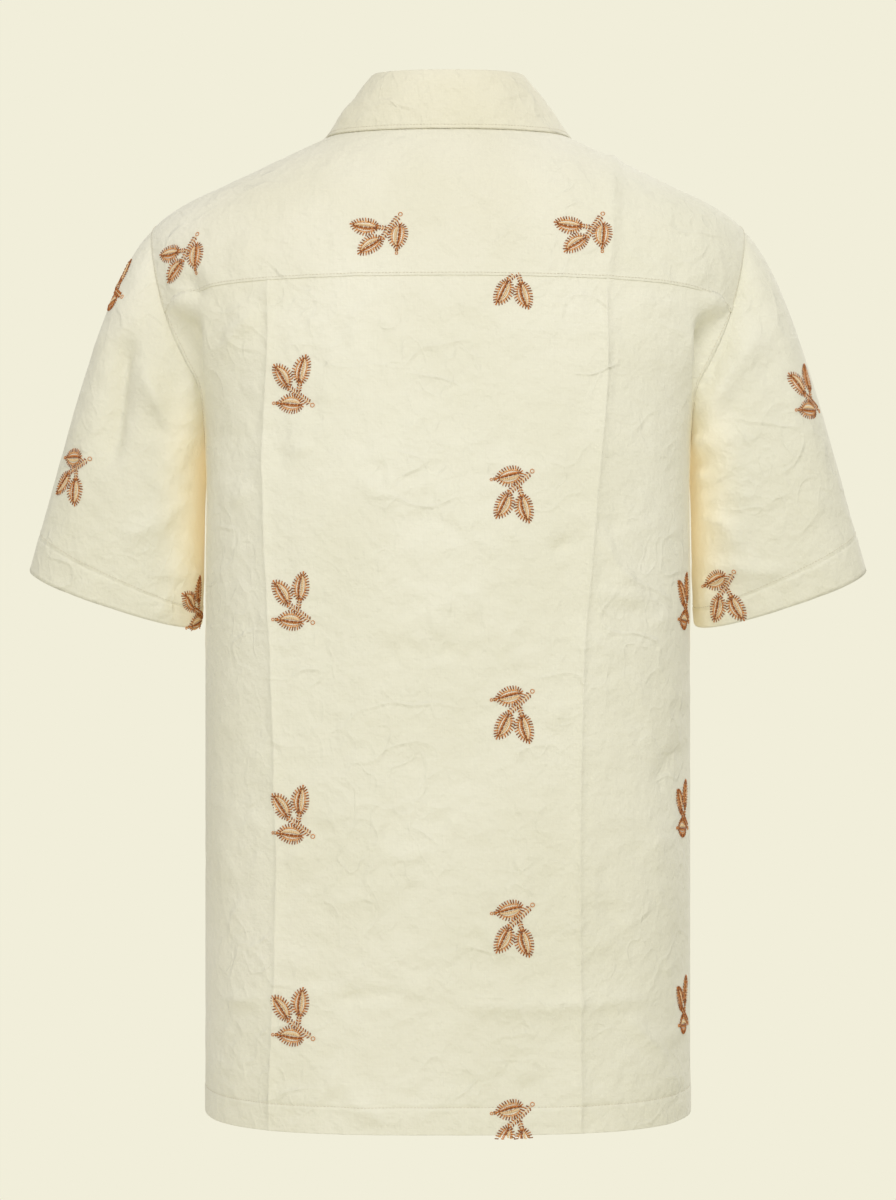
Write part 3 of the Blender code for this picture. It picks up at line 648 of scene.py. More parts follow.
def front_top(fractions):
    """The top of a front: the lap, the neck seam, then the seam with the yoke."""
    _, end_bearing, end_height = ARMHOLE[station("yoke front")]
    neck_bearings, neck_heights = neck_span(-90.0, YOKE_NECK_FRONT, np.linspace(0, 1, DENSE))
    share = np.linspace(0, 1, DENSE)[1:]
    seam_bearings = YOKE_NECK_FRONT + (end_bearing - YOKE_NECK_FRONT) * share
    bearings = np.concatenate([[lap_bearing(FRONT_NECK_HEIGHT)], neck_bearings, seam_bearings])
    bowed = share**YOKE_FRONT_SEAM_BOW
    seam_heights = neck_heights[-1] + (end_height - neck_heights[-1]) * bowed
    heights = np.concatenate([[FRONT_NECK_HEIGHT], neck_heights, seam_heights])
    return evenly(bearings, heights, fractions)


def between(bottom, top, inner, outer, fractions, rises):
    """A patch between four edges, as bearings and heights: rows go up, columns outwards.

    It is a Coons patch: the blend of both pairs of edges, less the blend of the corners.
    """
    across = np.asarray(fractions)[None, :]
    up = np.asarray(rises)[:, None]
    patch = []
    for low, high, near, far in zip(bottom, top, inner, outer):
        corners = (
            (1 - across) * (1 - up) * low[0]
            + across * (1 - up) * low[-1]
            + (1 - across) * up * high[0]
            + across * up * high[-1]
        )
        edges = (1 - up) * low[None, :] + up * high[None, :]
        sides = (1 - across) * near[:, None] + across * far[:, None]
        patch.append(edges + sides - corners)
    return patch


def mirrored(points):
    """A half from the centre outwards made whole, columns from -X to +X."""
    other = points[:, :0:-1] * np.array([-1.0, 1.0, 1.0])
    return np.concatenate([other, points], axis=1)


def grid_normals(points, wraps):
    """Outward directions on a grid, from the neighbours of each point."""
    if wraps:
        across = np.roll(points, -1, axis=1) - np.roll(points, 1, axis=1)
    else:
        across = np.gradient(points, axis=1)
    return unit(np.cross(across, np.gradient(points, axis=0)))


def armhole_distance(points):
    """How far each point is from the nearer armhole seam."""
    bearings, heights = armhole_span(0, len(ARMHOLE), 160)
    seam = body_point(bearings, heights)
    flat = points.reshape(-1, 3) * 1.0
    flat[:, 0] = np.abs(flat[:, 0])
    nearest = np.full(len(flat), 1.0)
    for start in range(0, len(seam), 20):
        apart = np.linalg.norm(flat[:, None] - seam[None, start : start + 20], axis=2)
        nearest = np.minimum(nearest, apart.min(axis=1))
    return nearest.reshape(points.shape[:2])


def path_distance(across, up, path):
    """How far places are from a line through the path's points, and how far along they lie."""
    corners = np.array(path, float).reshape(-1, 2) / 1000
    nearest = np.full(np.shape(across), 1.0)
    along = np.zeros(np.shape(across))
    passed = 0.0
    for start, end in zip(corners, corners[1:]):
        line = end - start
        length = np.hypot(*line)
        t = ((across - start[0]) * line[0] + (up - start[1]) * line[1]) / length**2
        t = np.clip(t, 0.0, 1.0)
        apart = np.hypot(across - start[0] - t * line[0], up - start[1] - t * line[1])
        closer = apart < nearest
        nearest = np.where(closer, apart, nearest)
        along = np.where(closer, passed + t * length, along)
        passed += length
    return nearest, along, passed


def crease_lift(across, up, table):
    """The rise of a table of creases at flat places.

    The section of a crease is exp(-(distance / half width) ^ power): power 2 is a soft
    swell and power 1 a pressed ridge. Its height fades in and out at its ends.
    """
    lift = np.zeros(np.shape(across))
    for half_width, rise, power, path in table:
        apart, along, length = path_distance(across, up, path)
        fade = min(CREASE_FADE_SHARE * length, CREASE_FADE_MOST)
        ends = smooth_step(along, 0.0, fade) * smooth_step(length - along, 0.0, fade)
        lift += rise / 1000 * ends * np.exp(-((apart * 1000 / half_width) ** power))
    return lift


def crumple_lift(across, up, seed, zones):
    """Small creases of a seeded draw in the crumpled zones, each a short bowed ridge."""
    draw = np.random.default_rng(seed)
    lift = np.zeros(np.shape(across))
    for middle_x, middle_up, reach_x, reach_up, count, rise in zones:
        for _ in range(count):
            x = middle_x + reach_x * draw.uniform(-1, 1)
            height = middle_up + reach_up * draw.uniform(-1, 1)
            turn = draw.uniform(0, math.pi)
            half = draw.uniform(*CRUMPLE_HALF_LENGTHS)
            step_x, step_up = half * math.cos(turn), half * math.sin(turn)
            bow = draw.uniform(-CRUMPLE_BOW, CRUMPLE_BOW)
            path = (x - step_x, height - step_up, x - bow * step_up, height + bow * step_x)
            path = path + (x + step_x, height + step_up)
            size = rise * draw.uniform(0.4, 1.0) * draw.choice((-1, 1))
            width = draw.uniform(*CRUMPLE_HALF_WIDTHS)
            near = np.hypot(across - x / 1000, up - height / 1000) < (half + 3 * width) / 1000
            if near.any():
                crease = (width, size, CRUMPLE_SHARPNESS, path)
                lift[near] += crease_lift(across[near], up[near], (crease,))
    return lift


def body_lift(points, normals):
    """The creases of the body: those seen from behind, and those of the fronts."""
    x, height = points[..., 0], points[..., 2]
    back = crease_lift(x, height, BACK_CREASES) + crumple_lift(x, height, BACK_SEED, CRUMPLES)
    front = crease_lift(x, height, FRONT_CREASES) + crumple_lift(-x, height, FRONT_SEED, CRUMPLES)
    lift = back * smooth_step(normals[..., 1], *TURNED_BACK)
    lift = lift + front * smooth_step(-normals[..., 1], *TURNED_BACK)
    return lift * smooth_step(armhole_distance(points), *ARMHOLE_FADE)


def sleeve_lift(x, height, facing):
    """The creases of the sleeves, behind where they face back and in front where they don't."""
    behind = smooth_step(facing, *TURNED_BACK)
    lift = crease_lift(x, height, SLEEVE_CREASES) * behind
    lift = lift + crease_lift(x, height, SLEEVE_FRONT_CREASES) * (1 - behind)
    for seed, way in SLEEVE_SEEDS:
        crumple = crumple_lift(x, height, seed, SLEEVE_CRUMPLES)
        lift = lift + crumple * smooth_step(way * facing, 0.0, 0.4)
    return lift


def armhole_trough(points):
    """The spare cloth of the back folds in beside the armhole: a trough along the seam.

    It is a cosine dip between the seam and the fold's crest, and the table says how far
    the crest is from the seam and how deep the dip is at each height.
    """
    steps = np.linalg.norm(np.diff(points, axis=1), axis=2)
    from_edge = np.cumsum(np.pad(steps, ((0, 0), (0, 1)))[:, ::-1], axis=1)[:, ::-1]
    names = ARMHOLE_FOLD_COLUMNS
    reach, depth = (curve(ARMHOLE_FOLD, names, name, points[..., 2]) for name in names[1:])
    share = np.clip(from_edge / reach, 0.0, 1.0)
    return depth * np.sin(np.pi * share**ARMHOLE_FOLD_LEAN) ** ARMHOLE_FOLD_SHARPNESS


def panel_heights(count):
    """Heights of the rows below the underarm, closer together at the hem's stitching."""
    stitched = HEM_HEIGHT + HEM_TURN + np.array(HEM_ROW_STEPS)
    edge = HEM_HEIGHT + np.array([0.0, 0.0006, 0.0014])
    rest = np.linspace(HEM_HEIGHT, UNDERARM_HEIGHT, count)
    clear = np.abs(rest - HEM_HEIGHT - HEM_TURN) > 0.0032
    clear &= rest > HEM_HEIGHT + 0.002
    return np.sort(np.concatenate([edge, stitched, rest[clear]]))


def hem_relief(above, wave, rise, reach):
    """A turned hem: a swell over the doubled cloth, a groove at its stitching and puckers.

    The groove is a bell curve of the distance above the stitching, and the puckers are the
    wave times their rise, inside a wider bell curve.
    """
    turned = HEM_SWELL * (1 - smooth_step(above, -0.0012, 0.0004))
    groove = HEM_GROOVE * np.exp(-((above / HEM_GROOVE_WIDTH) ** 2))
    return turned - groove + rise * wave * np.exp(-((above / reach) ** 2))


def body_hem(points, around):
    """The hem of a body panel, with puckers that run along its length."""
    above = points[..., 2] - (HEM_HEIGHT + HEM_TURN)
    wave = np.sin(around / 0.0021 + 2.2 * np.sin(around / 0.017) + 1.3 * np.sin(around / 0.041))
    return hem_relief(above, wave, 0.00022, 0.0065)


def lengthwise(points, axis):
    """Running length along the rows (axis 1) or the columns (axis 0) of a grid."""
    steps = np.linalg.norm(np.diff(points, axis=axis), axis=2)
    pad = ((1, 0), (0, 0)) if axis == 0 else ((0, 0), (1, 0))
    return np.cumsum(np.pad(steps, pad), axis=axis)


def side_seam_groove(points):
    """The seam at the side, sunk a little where the two panels meet."""
    apart = np.where(points[..., 2] < UNDERARM_HEIGHT + 0.002, np.abs(points[..., 1]), 1.0)
    return -SIDE_SEAM_SINK * np.exp(-((apart / SIDE_SEAM_WIDTH) ** 2))


def along_crease(bearings, levels, path):
    """Slides the columns of a half so that one of them follows a pressed crease.

    The columns between the centre and the crease share one stretch evenly and those
    beyond it the other, with a few close ones beside the crease.
    """
    corners = np.array(path, float).reshape(-1, 2)
    corners = np.abs(corners[np.argsort(corners[:, 1])]) / 1000
    across = body_point(bearings, levels)[..., 0]
    even = np.linspace(0, 1, bearings.shape[1])
    wanted = np.interp(levels, -corners[:, 1], corners[:, 0])
    crest = np.array([np.interp(0.0, row, even) for row in across - wanted])
    share = crest.mean()
    close = np.array([-0.012, -0.0065, -0.0028, 0.0, 0.0028, 0.0065, 0.012])
    inner = np.linspace(0, share - 0.022, round(HALF_COLUMNS * share))
    outer = np.linspace(share + 0.022, 1, round(HALF_COLUMNS * (1 - share)))
    base = np.concatenate([inner, share + close, outer])[None]
    crest = crest[:, None]
    slid = np.where(base < share, base * crest / share, 1 - (1 - base) * (1 - crest) / (1 - share))
    pairs = list(zip(slid, bearings, levels))
    turned = np.array([np.interp(row, even, bearing) for row, bearing, _ in pairs])
    return turned, np.array([np.interp(row, even, level) for row, _, level in pairs])


def half_panel(centre, top_height, outer, top, fractions):
    """Bearings and heights of half a panel, columns from its centre edge outwards.

    Rows below the underarm are level, from the centre edge's bearing to the side. Above it
    they fill the patch between that, the centre edge, the armhole and the top.
    """
    heights = panel_heights(BODY_ROWS)
    rows = [
        evenly(np.linspace(start, 0.0, DENSE), np.full(DENSE, height), fractions)[0]
        for start, height in zip(centre(heights), heights)
    ]
    low = np.array(rows)
    low_heights = np.broadcast_to(heights[:, None], low.shape)
    rises = np.linspace(0, 1, len(outer[0]))
    inner_heights = np.linspace(heights[-1], top_height, len(rises))
    inner = (centre(inner_heights), inner_heights)
    bearings, levels = between((low[-1], low_heights[-1]), top, inner, outer, fractions, rises)
    return np.concatenate([low, bearings[1:]]), np.concatenate([low_heights, levels[1:]])


def centre_back(heights):
    """The bearing of the centre back at each height."""
    return np.full(len(heights), 90.0)


def lap_bearing(height):
    """The bearing of a front's inner edge, which laps past the centre front."""
    return -90.0 - np.degrees(LAP_HALF_WIDTH / section(height, "front"))


def back_grid():
    """The back, from the side seams to its seam with the yoke, tucked under the yoke."""
    fractions = np.linspace(0, 1, 2 * HALF_COLUMNS + 1)
    outer = armhole_span(0, station("yoke back"), ARMHOLE_ROWS_BACK)
    top = yoke_seam(fractions)
    bearings, levels = half_panel(centre_back, YOKE_BACK_HEIGHT, outer, top, fractions)
    halves = []
    for side, path in ((1.0, PRESSED_LEFT), (-1.0, PRESSED_RIGHT)):
        turned, height = along_crease(bearings, levels, path)
        turn = np.array([side, 1.0, 1.0])
        points, normals = body_point(turned, height), body_normal(turned, height)
        relief = body_lift(points * turn, normals * turn) + side_seam_groove(points)
        around = lengthwise(points, 1) + 0.25 * (1 - side)
        relief = relief + body_hem(points, around)
        lift = (relief - armhole_trough(points))[..., None]
        halves.append((points + normals * lift) * turn)
    left, right = halves
    whole = np.concatenate([left[:, ::-1], right[:, 1:]], axis=1)
    tuck = whole[-1:] + np.array([0.0, 0.0, TUCK]) - grid_normals(whole, False)[-1:] * TUCK_DEPTH
    return np.concatenate([whole, tuck])


def front_grid(laps_over):
    """A front, from its lap past the centre to the side and the armhole."""
    fractions = np.linspace(0, 1, HALF_COLUMNS + 1)
    outer = armhole_span(len(ARMHOLE), station("yoke front"), ARMHOLE_ROWS_FRONT)
    top = front_top(fractions)
    bearings, levels = half_panel(lap_bearing, FRONT_NECK_HEIGHT, outer, top, fractions)
    points, normals = body_point(bearings, levels), body_normal(bearings, levels)
    side = 1.0 if laps_over else -1.0
    turn = np.array([side, 1.0, 1.0])
    relief = body_lift(points * turn, normals * turn) + side_seam_groove(points)
    relief = relief + body_hem(points, lengthwise(points, 1) + side)
    if laps_over:
        relief = relief + lap_lift(points)
    whole = (points + normals * relief[..., None]) * turn
    whole = whole if laps_over else whole[:, ::-1]
    up = unit(whole[-1:] - whole[-2:-1])
    tuck = whole[-1:] + up * TUCK * 0.6 - grid_normals(whole, False)[-1:] * TUCK_DEPTH
    return np.concatenate([whole, tuck])


def lap_lift(points):
    """How far the left front stands off to lie over the right one, near the centre front."""
    settled = smooth_step(points[..., 0], LAP_SETTLED_FROM, LAP_SETTLED_BY)
    return LAP_LIFT * (1 - settled) * (points[..., 1] < 0)


def yoke_grid():
    """The yoke: rows from the neck outwards, columns from one front seam to the other."""
    cap = armhole_span(station("yoke front"), station("tip"), YOKE_CAP_COLUMNS)
    blade = armhole_span(station("tip"), station("yoke back"), YOKE_BLADE_COLUMNS)
    fractions = np.linspace(0, 1, HALF_COLUMNS + 1)
    seam = yoke_seam(fractions[::-1])
    outer = [np.concatenate([c, b[1:], s[1:]]) for c, b, s in zip(cap, blade, seam)]
    inner_bearings = np.concatenate(
        [
            np.linspace(YOKE_NECK_FRONT, 0.0, YOKE_CAP_COLUMNS + 1),
            np.linspace(0.0, YOKE_NECK_CORNER, YOKE_BLADE_COLUMNS + 1)[1:],
            90 - (90 - YOKE_NECK_CORNER) * fractions[-2::-1],
        ]
    )
    inner = (inner_bearings, neck_height(inner_bearings))
    across = np.concatenate([np.linspace(0, 0.965, YOKE_ROWS), YOKE_EDGE_SHARES])[:, None]
    bearings = inner[0][None] * (1 - across) + outer[0][None] * across
    levels = inner[1][None] * (1 - across) + outer[1][None] * across
    points, normals = body_point(bearings, levels), body_normal(bearings, levels)
    lip = EDGE_LIFT + 0.0003 * np.exp(-(((across - 0.985) / 0.008) ** 2))
    left = points + normals * (body_lift(points, normals) + lip)[..., None]
    other = body_lift(points * MIRROR, normals * MIRROR) + lip
    right = (points + normals * other[..., None]) * MIRROR
    return np.concatenate([left, right[:, -2::-1]], axis=1)[:, ::-1]


def turn_of(start):
    """Each armhole point's bearing round the sleeve, 0 at the top and 180 at the underarm."""
    centre = (start.max(axis=0) + start.min(axis=0)) / 2
    flattened = (start[:, 2] - centre[2]) * SLEEVE_TURN_FLATTENING
    return np.arctan2(start[:, 1] - centre[1], flattened)


def cuff_ring(turn):
    """The cuff's rounded oblong at these turns, and the direction in which the cloth ends."""
    out = np.array([math.cos(CUFF_SLOPE), 0.0, math.sin(CUFF_SLOPE)])
    back = np.array([0.0, math.cos(CUFF_FORWARD_TILT), -math.sin(CUFF_FORWARD_TILT)])
    across, along = np.cos(turn), np.sin(turn)
    reach = (np.abs(across) ** CUFF_POWER + np.abs(along) ** CUFF_POWER) ** (-1 / CUFF_POWER)
    ring = (
        np.array(CUFF_CENTRE)
        + out * (CUFF_HALF_WIDTH * reach * across)[:, None]
        + back * (CUFF_HALF_DEPTH * reach * along)[:, None]
    )
    return ring, np.cross(back, out)


def sleeve_grid(side):
    """A sleeve: rows from the armhole to the cuff, columns once round.

    Each column is a cubic path from a point of the armhole to the matching point of the
    cuff. It sets out as the table says and ends square to the cuff.
    """
    spans = (
        armhole_span(0, station("yoke back"), 34),
        armhole_span(station("yoke back"), station("tip"), 24),
        armhole_span(station("tip"), station("yoke front"), 12),
        armhole_span(station("yoke front"), len(ARMHOLE), 50),
    )
    bearings = np.concatenate([span[0][:-1] for span in spans])
    heights = np.concatenate([span[1][:-1] for span in spans])
    start, outward = body_point(bearings, heights), body_normal(bearings, heights)
    turn = turn_of(start)
    end, down = cuff_ring(turn)
    top = (1 + np.cos(turn))[:, None] / 2
    rear = np.sin(turn)[:, None]
    at_top, at_underarm, at_sides, at_back = (np.array(row[1:]) for row in SLEEVE_SET)
    begin = top * at_top + (1 - top) * at_underarm + np.abs(rear) * at_sides + rear * at_back
    begin = unit(begin)
    finish = unit(down - (1 - top) * np.array([CUFF_TUCK_UNDER, 0.0, 0.0]))
    length = np.linalg.norm(end - start, axis=1)[:, None]
    turned = CUFF_TURN / SLEEVE_MEAN_LENGTH
    stitched = 1 - turned + np.array(CUFF_ROW_SHARES)
    rest = np.linspace(0.006, 1.0, SLEEVE_ROWS)
    rest = rest[np.abs(rest - 1 + turned) > 0.012]
    t = np.sort(np.concatenate([[0.0], stitched, rest]))[:, None, None]
    leaving, arriving = begin * length * SLEEVE_CAP_FULLNESS, finish * length * SLEEVE_HANG
    paths = clear_of_body(cubic(t, start, leaving, end, arriving))
    paths = paths - outward * SLEEVE_SEAM_SINK * np.exp(-t / 0.01)
    normals = grid_normals(paths, True)
    around = lengthwise(paths, 1)
    before = (1 - turned - t[..., 0]) * length[:, 0][None]
    wave = np.sin(around / 0.0019 + 2.0 * np.sin(around / 0.015 + side))
    lift = sleeve_lift(paths[..., 0] * side, paths[..., 2], normals[..., 1])
    lift = lift * smooth_step(t[..., 0], 0.0, 0.05) + hem_relief(before, wave, 0.00026, 0.0060)
    paths = paths + normals * lift[..., None]
    inward = unit(-(begin - np.sum(begin * outward, axis=1, keepdims=True) * outward))
    tuck = start + inward * TUCK - outward * TUCK_DEPTH
    grid = np.concatenate([tuck[None], paths])
    return grid if side > 0 else grid[:, ::-1] * MIRROR


def clear_of_body(paths):
    """Keeps the sleeve's inner side just outside the body's side."""
    height = np.clip(paths[..., 2], HEM_HEIGHT, UNDERARM_HEIGHT)
    depth = np.where(paths[..., 1] > 0, section(height, "back"), section(height, "front"))
    inside = np.clip(1 - np.abs(paths[..., 1] / depth) ** SLEEVE_BODY_POWER, 0.0, 1.0)
    side = section(height, "half_width") * inside ** (1 / SLEEVE_BODY_POWER)
    first = -UNDERARM_HEIGHT - SLEEVE_TOUCH_ABOVE
    below = smooth_step(-paths[..., 2], first, -UNDERARM_HEIGHT + SLEEVE_TOUCH_BELOW)
    least = side + SLEEVE_BODY_CLEARANCE * below
    pushed = np.maximum(paths[..., 0], np.where(below > 0, least, paths[..., 0]))
    return np.stack([pushed, paths[..., 1], paths[..., 2]], axis=-1)


def collar_grid():
    """The collar: on each column a smooth profile from the seam, over the fold, to the edge."""
    bearings, heights = neck_span(-COLLAR_END, 90.0, np.linspace(0, 1, COLLAR_HALF_COLUMNS + 1))
    names = COLLAR_COLUMNS
    row = {name: curve(COLLAR, names, name, bearings) for name in names[1:]}
    rise = np.array([0.0, 0.0, 1.0])
    base = body_point(bearings, heights)
    base = base + body_normal(bearings, heights) * lap_lift(base)[:, None]
    fold = np.stack([row["fold_x"], row["fold_y"], row["fold_height"]], axis=-1)
    edge = body_point(row["edge_bearing"], row["edge_height"])
    outward = body_normal(row["edge_bearing"], row["edge_height"])
    edge = edge + outward * (COLLAR_EDGE_STAND_OFF + lap_lift(edge)[:, None])
    across = unit((edge - base) * np.array([1.0, 1.0, 0.0]))
    inner_fold = fold - rise * COLLAR_FOLD_HALF
    outer_fold = fold + across * 2 * COLLAR_FOLD_HALF - rise * COLLAR_FOLD_HALF
    crown = fold + across * COLLAR_FOLD_HALF
    stand = (base + inner_fold) / 2 - across * COLLAR_STAND_HOLLOW
    fall = (outer_fold + edge) / 2 + outward * COLLAR_FALL_CROWN
    keys = np.stack([base, stand, inner_fold, crown, outer_fold, fall, edge])
    stops = dict(COLLAR_STOPS)
    inner, outer = stops["inner fold"], stops["outer fold"]
    stand_rows = np.linspace(0.0, inner, COLLAR_STAND_ROWS, endpoint=False)
    fold_rows = np.linspace(inner, outer, COLLAR_FOLD_ROWS, endpoint=False)
    fall_rows = np.linspace(outer, stops["edge"], COLLAR_FALL_ROWS)
    at = np.concatenate([stand_rows, fold_rows, fall_rows])
    along = list(stops.values())
    profiles = [
        np.stack([rounded(at, along, keys[:, i, axis]) for axis in range(3)], axis=-1)
        for i in range(len(bearings))
    ]
    whole = mirrored(np.stack(profiles, axis=1)[:, ::-1])
    normals = grid_normals(whole, False)
    lift = crumple_lift(whole[..., 0], whole[..., 2], COLLAR_SEED, COLLAR_CRUMPLES)
    fall = smooth_step(at, 1.25, 1.5) * (1 - smooth_step(at, 2.15, 2.35))
    return whole + normals * (lift * fall[:, None])[..., None]


def add_piece(name, mesh, material):
    """A mesh as a piece on the shirt's one body, unturned at the origin."""
    mesh.materials.append(material)
    obj = bpy.data.objects.new(name, mesh)
    bpy.context.scene.collection.objects.link(obj)
    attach(obj, "root")
    return obj


def add_wall(name, node, points, wraps, thickness, material):
    """A grid of points as a surface with arc-length UVs, closed inwards into a thin wall."""
    rows, columns = points.shape[:2]
    mesh = bpy.data.meshes.new(name)
    index = np.arange(rows * columns).reshape(rows, columns)
    right = np.roll(index, -1, axis=1) if wraps else index[:, 1:]
    left = index if wraps else index[:, :-1]
    faces = np.stack([left[:-1], right[:-1], right[1:], left[1:]], axis=-1).reshape(-1, 4)
    mesh.from_pydata(points.reshape(-1, 3).tolist(), [], faces.tolist())
    middle = points.shape[1] // 2
    across = lengthwise(points, 1)
    across = across - across[:, middle : middle + 1]
    along = lengthwise(points, 0)
    along = np.broadcast_to(along[:, middle : middle + 1], across.shape)
    flat = np.stack([across, along], axis=-1)
    if wraps:
        gap = np.linalg.norm(points[:, :1] - points[:, -1:], axis=-1, keepdims=True)
        beyond = flat[:, -1:] + gap * np.array([1.0, 0.0])
        flat = np.concatenate([flat, beyond], axis=1)
    quads = np.stack([flat[:-1, :-1], flat[:-1, 1:], flat[1:, 1:], flat[1:, :-1]], axis=2)
    layer = mesh.uv_layers.new(name="weave")
    layer.data.foreach_set("uv", quads.reshape(-1).astype(np.float32))
    # Painted warm bounce light beside the body, as a share on each point
    painted_crevice_light = mesh.attributes.new("painted_crevice_light", "FLOAT", "POINT")
    painted_crevice_light.data.foreach_set("value", painted_crevice_light_share(points).reshape(-1).astype(np.float32))
    mesh.shade_smooth()
    obj = add_piece(name, mesh, material)
    solid = obj.modifiers.new("wall", "SOLIDIFY")
    solid.thickness = thickness
    solid.offset = -1.0
    solid.use_even_offset = False
    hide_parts(node)
    return obj


def painted_crevice_light_share(points):
    """1 where a sleeve and the body's side lie close together: the share of painted warm bounce
    light there.

    It is a product of three smooth steps: across the crevice, down its length, and at the
    body's outline, outside which the cloth is the sleeve's.
    """
    x, height = np.abs(points[..., 0]), points[..., 2]
    close = 1 - smooth_step(x - 0.187, -0.004, 0.040)
    deep = smooth_step(-height, 0.190, 0.270) * (1 - 0.45 * smooth_step(-height, 0.300, 0.400))
    outside = smooth_step(x, 0.182, 0.188) * (1 - smooth_step(-height, 0.395, 0.43))
    return close * deep * outside


def stitch_row(starts, ends, stitch, colours):
    """A row of stitches: starts, ends, thickness, how proud, and a colour for each."""
    return starts, ends, *stitch, np.broadcast_to(colours, (len(starts), 3))


def chain(places, stitch, colour):
    """A row of stitches from each place to the next."""
    return stitch_row(places[:-1], places[1:], stitch, colour)


def striped(count, every):
    """Copper for one stitch of so many, and dark copper for the others."""
    return np.where(np.arange(count)[:, None] % every == 0, COPPER, COPPER_DARK)


def heading(start_x, start_y, end_x, end_y):
    """The start of a flat line, its run, and its directions ahead and to the side."""
    start, line = np.array([start_x, start_y]), np.array([end_x - start_x, end_y - start_y])
    ahead = line / np.hypot(*line)
    return start, line, ahead, np.array([-ahead[1], ahead[0]])


def leaf_stitches(base_x, base_y, tip_x, tip_y, width, bow):
    """The rows of stitches of a leaf.

    With a turn from 0 at the base to pi at the tip, the outline is (1 - cos turn) / 2 along
    the leaf and sin(turn)^1.15 across it. A fringe leans out to it all round, over a pale
    underlay that is sunk under the fringe's inner ends. A row of small stitches lies along
    these ends, and satin fills both sides of the vein.
    """
    base, line, ahead, side = heading(base_x, base_y, tip_x, tip_y)

    def at(turn, across, along=1.0):
        """A place on the leaf, at these shares of its half width and half length."""
        t = (0.5 - 0.5 * along * np.cos(turn))[:, None]
        half = width / 2 * np.sin(turn) ** 1.15 * (1 + 0.12 * np.cos(turn))
        middle = base + line * t + side * bow * 4 * t * (1 - t)
        return middle + side * (half * across)[:, None]

    rows = []
    for turned in (1.0, -1.0):
        turn = np.linspace(0.10, 3.10, 200)
        edge = at(turn, turned)
        run = running_length(edge)
        turn = np.interp(np.linspace(1.0, run[-1] - 0.2, FRINGE), run, turn)
        outer = at(turn, turned)
        ahead_on = unit(at(turn + 0.02, turned) - at(turn - 0.02, turned))
        square = turned * np.stack([-ahead_on[:, 1], ahead_on[:, 0]], axis=-1)
        length = FRINGE_LENGTH + 0.35 * np.cos(5 * turn)
        inner = outer - unit(square + FRINGE_LEAN * ahead) * length[:, None]
        rows.append(stitch_row(inner, outer, FRINGE_STITCH, striped(FRINGE, 3)))
        under = at(np.linspace(0.30, 2.95, 9), 0.60 * turned, 0.80)
        rows.append(chain(under, LEAF_UNDERLAY, PEACH))
        along_ends = at(np.linspace(0.50, 2.85, 10), 0.50 * turned, 0.74)
        rows.append(chain(along_ends, INNER_ROW_STITCH, COPPER_PALE))
        turn = np.linspace(0.55, 2.60, 12)
        near, far = at(turn, 0.03 * turned, 0.70), at(turn + 0.16, 0.36 * turned, 0.72)
        rows.append(stitch_row(near, far, SATIN_STITCH, SHELL if turned > 0 else COPPER_PALE))
    turn = np.linspace(0.20, 2.70, 8)
    rows.append(chain(at(turn, -0.12, 0.86), VEIN_STITCH, COPPER_DARK))
    rows.append(chain(at(turn[1:-1], 0.10, 0.80), INNER_ROW_STITCH, COPPER))
    return rows


def stem_stitches(from_x, from_y, to_x, to_y, count, reach):
    """A stem's rows: paired slanting stitches, a pale line between them and an underlay."""
    start, line, ahead, side = heading(from_x, from_y, to_x, to_y)
    t = (np.arange(count) + 0.5)[:, None] / count
    middle = start + line * t
    rows = []
    for turned in (1.0, -1.0):
        near, far = middle + side * 0.5 * turned, middle + side * reach * turned - ahead * 1.5
        rows.append(stitch_row(near, far, STEM_STITCH, striped(count, 2)))
    for half, stitch, colour in ((0.9, RING_STITCH, SHELL), (1.5, STEM_UNDERLAY, PEACH)):
        rows.append(stitch_row(middle - ahead * half, middle + ahead * half, stitch, colour))
    return rows


def ring_stitches(middle_x, middle_y, radius):
    """The row of a small ring of short stitches."""
    turn = np.linspace(0, math.tau, 8)
    ring = np.stack([middle_x + radius * np.cos(turn), middle_y + radius * np.sin(turn)], axis=-1)
    return [chain(ring, RING_STITCH, COPPER_PALE)]


def sprig():
    """Every stitch of one sprig in metres: starts, ends, thicknesses, how proud, colours."""
    rows = []
    kinds = ((LEAVES, leaf_stitches), (STEMS, stem_stitches), (RINGS, ring_stitches))
    for table, stitches in kinds:
        for measures in table:
            rows += stitches(*measures)
    flip = np.array([SPRIG_PIXEL, -SPRIG_PIXEL])
    starts = np.concatenate([row[0] for row in rows]) * flip
    ends = np.concatenate([row[1] for row in rows]) * flip
    thick = np.concatenate([np.full(len(row[0]), row[2] * SPRIG_PIXEL) for row in rows])
    proud = np.concatenate([np.full(len(row[0]), row[3]) for row in rows])
    return starts, ends, thick, proud, np.concatenate([row[4] for row in rows])


def on_panel(places, centre, right, above, points, normals):
    """Drops flat places on to a panel: the four nearest grid points, weighted by closeness.

    Gives the points on the panel, the outward directions and how far the nearest grid
    point was, across the line of sight.
    """
    out = np.cross(right, above)
    near = np.linalg.norm(points - centre, axis=-1) < PATCH_REACH
    near &= normals @ out > 0.15
    grid, facing = points[near] - centre, normals[near]
    flat = np.stack([grid @ right, grid @ above], axis=-1)
    apart = np.linalg.norm(places[:, None] - flat[None], axis=2)
    nearest = np.argsort(apart, axis=1)[:, :4]
    distance = np.take_along_axis(apart, nearest, axis=1)
    weight = 1 / (distance**2 + 1e-8)
    weight = weight / weight.sum(axis=1, keepdims=True)
    depth = np.sum(weight * (grid @ out)[nearest], axis=1)
    normal = unit(np.sum(weight[..., None] * facing[nearest], axis=1))
    offset = places - np.sum(weight[..., None] * flat[nearest], axis=1)
    tilt = np.clip(normal @ out, 0.3, 1)
    depth = depth - (offset[:, 0] * (normal @ right) + offset[:, 1] * (normal @ above)) / tilt
    placed = centre + places[:, :1] * right + places[:, 1:] * above + depth[:, None] * out
    return placed, normal, distance[:, 0]


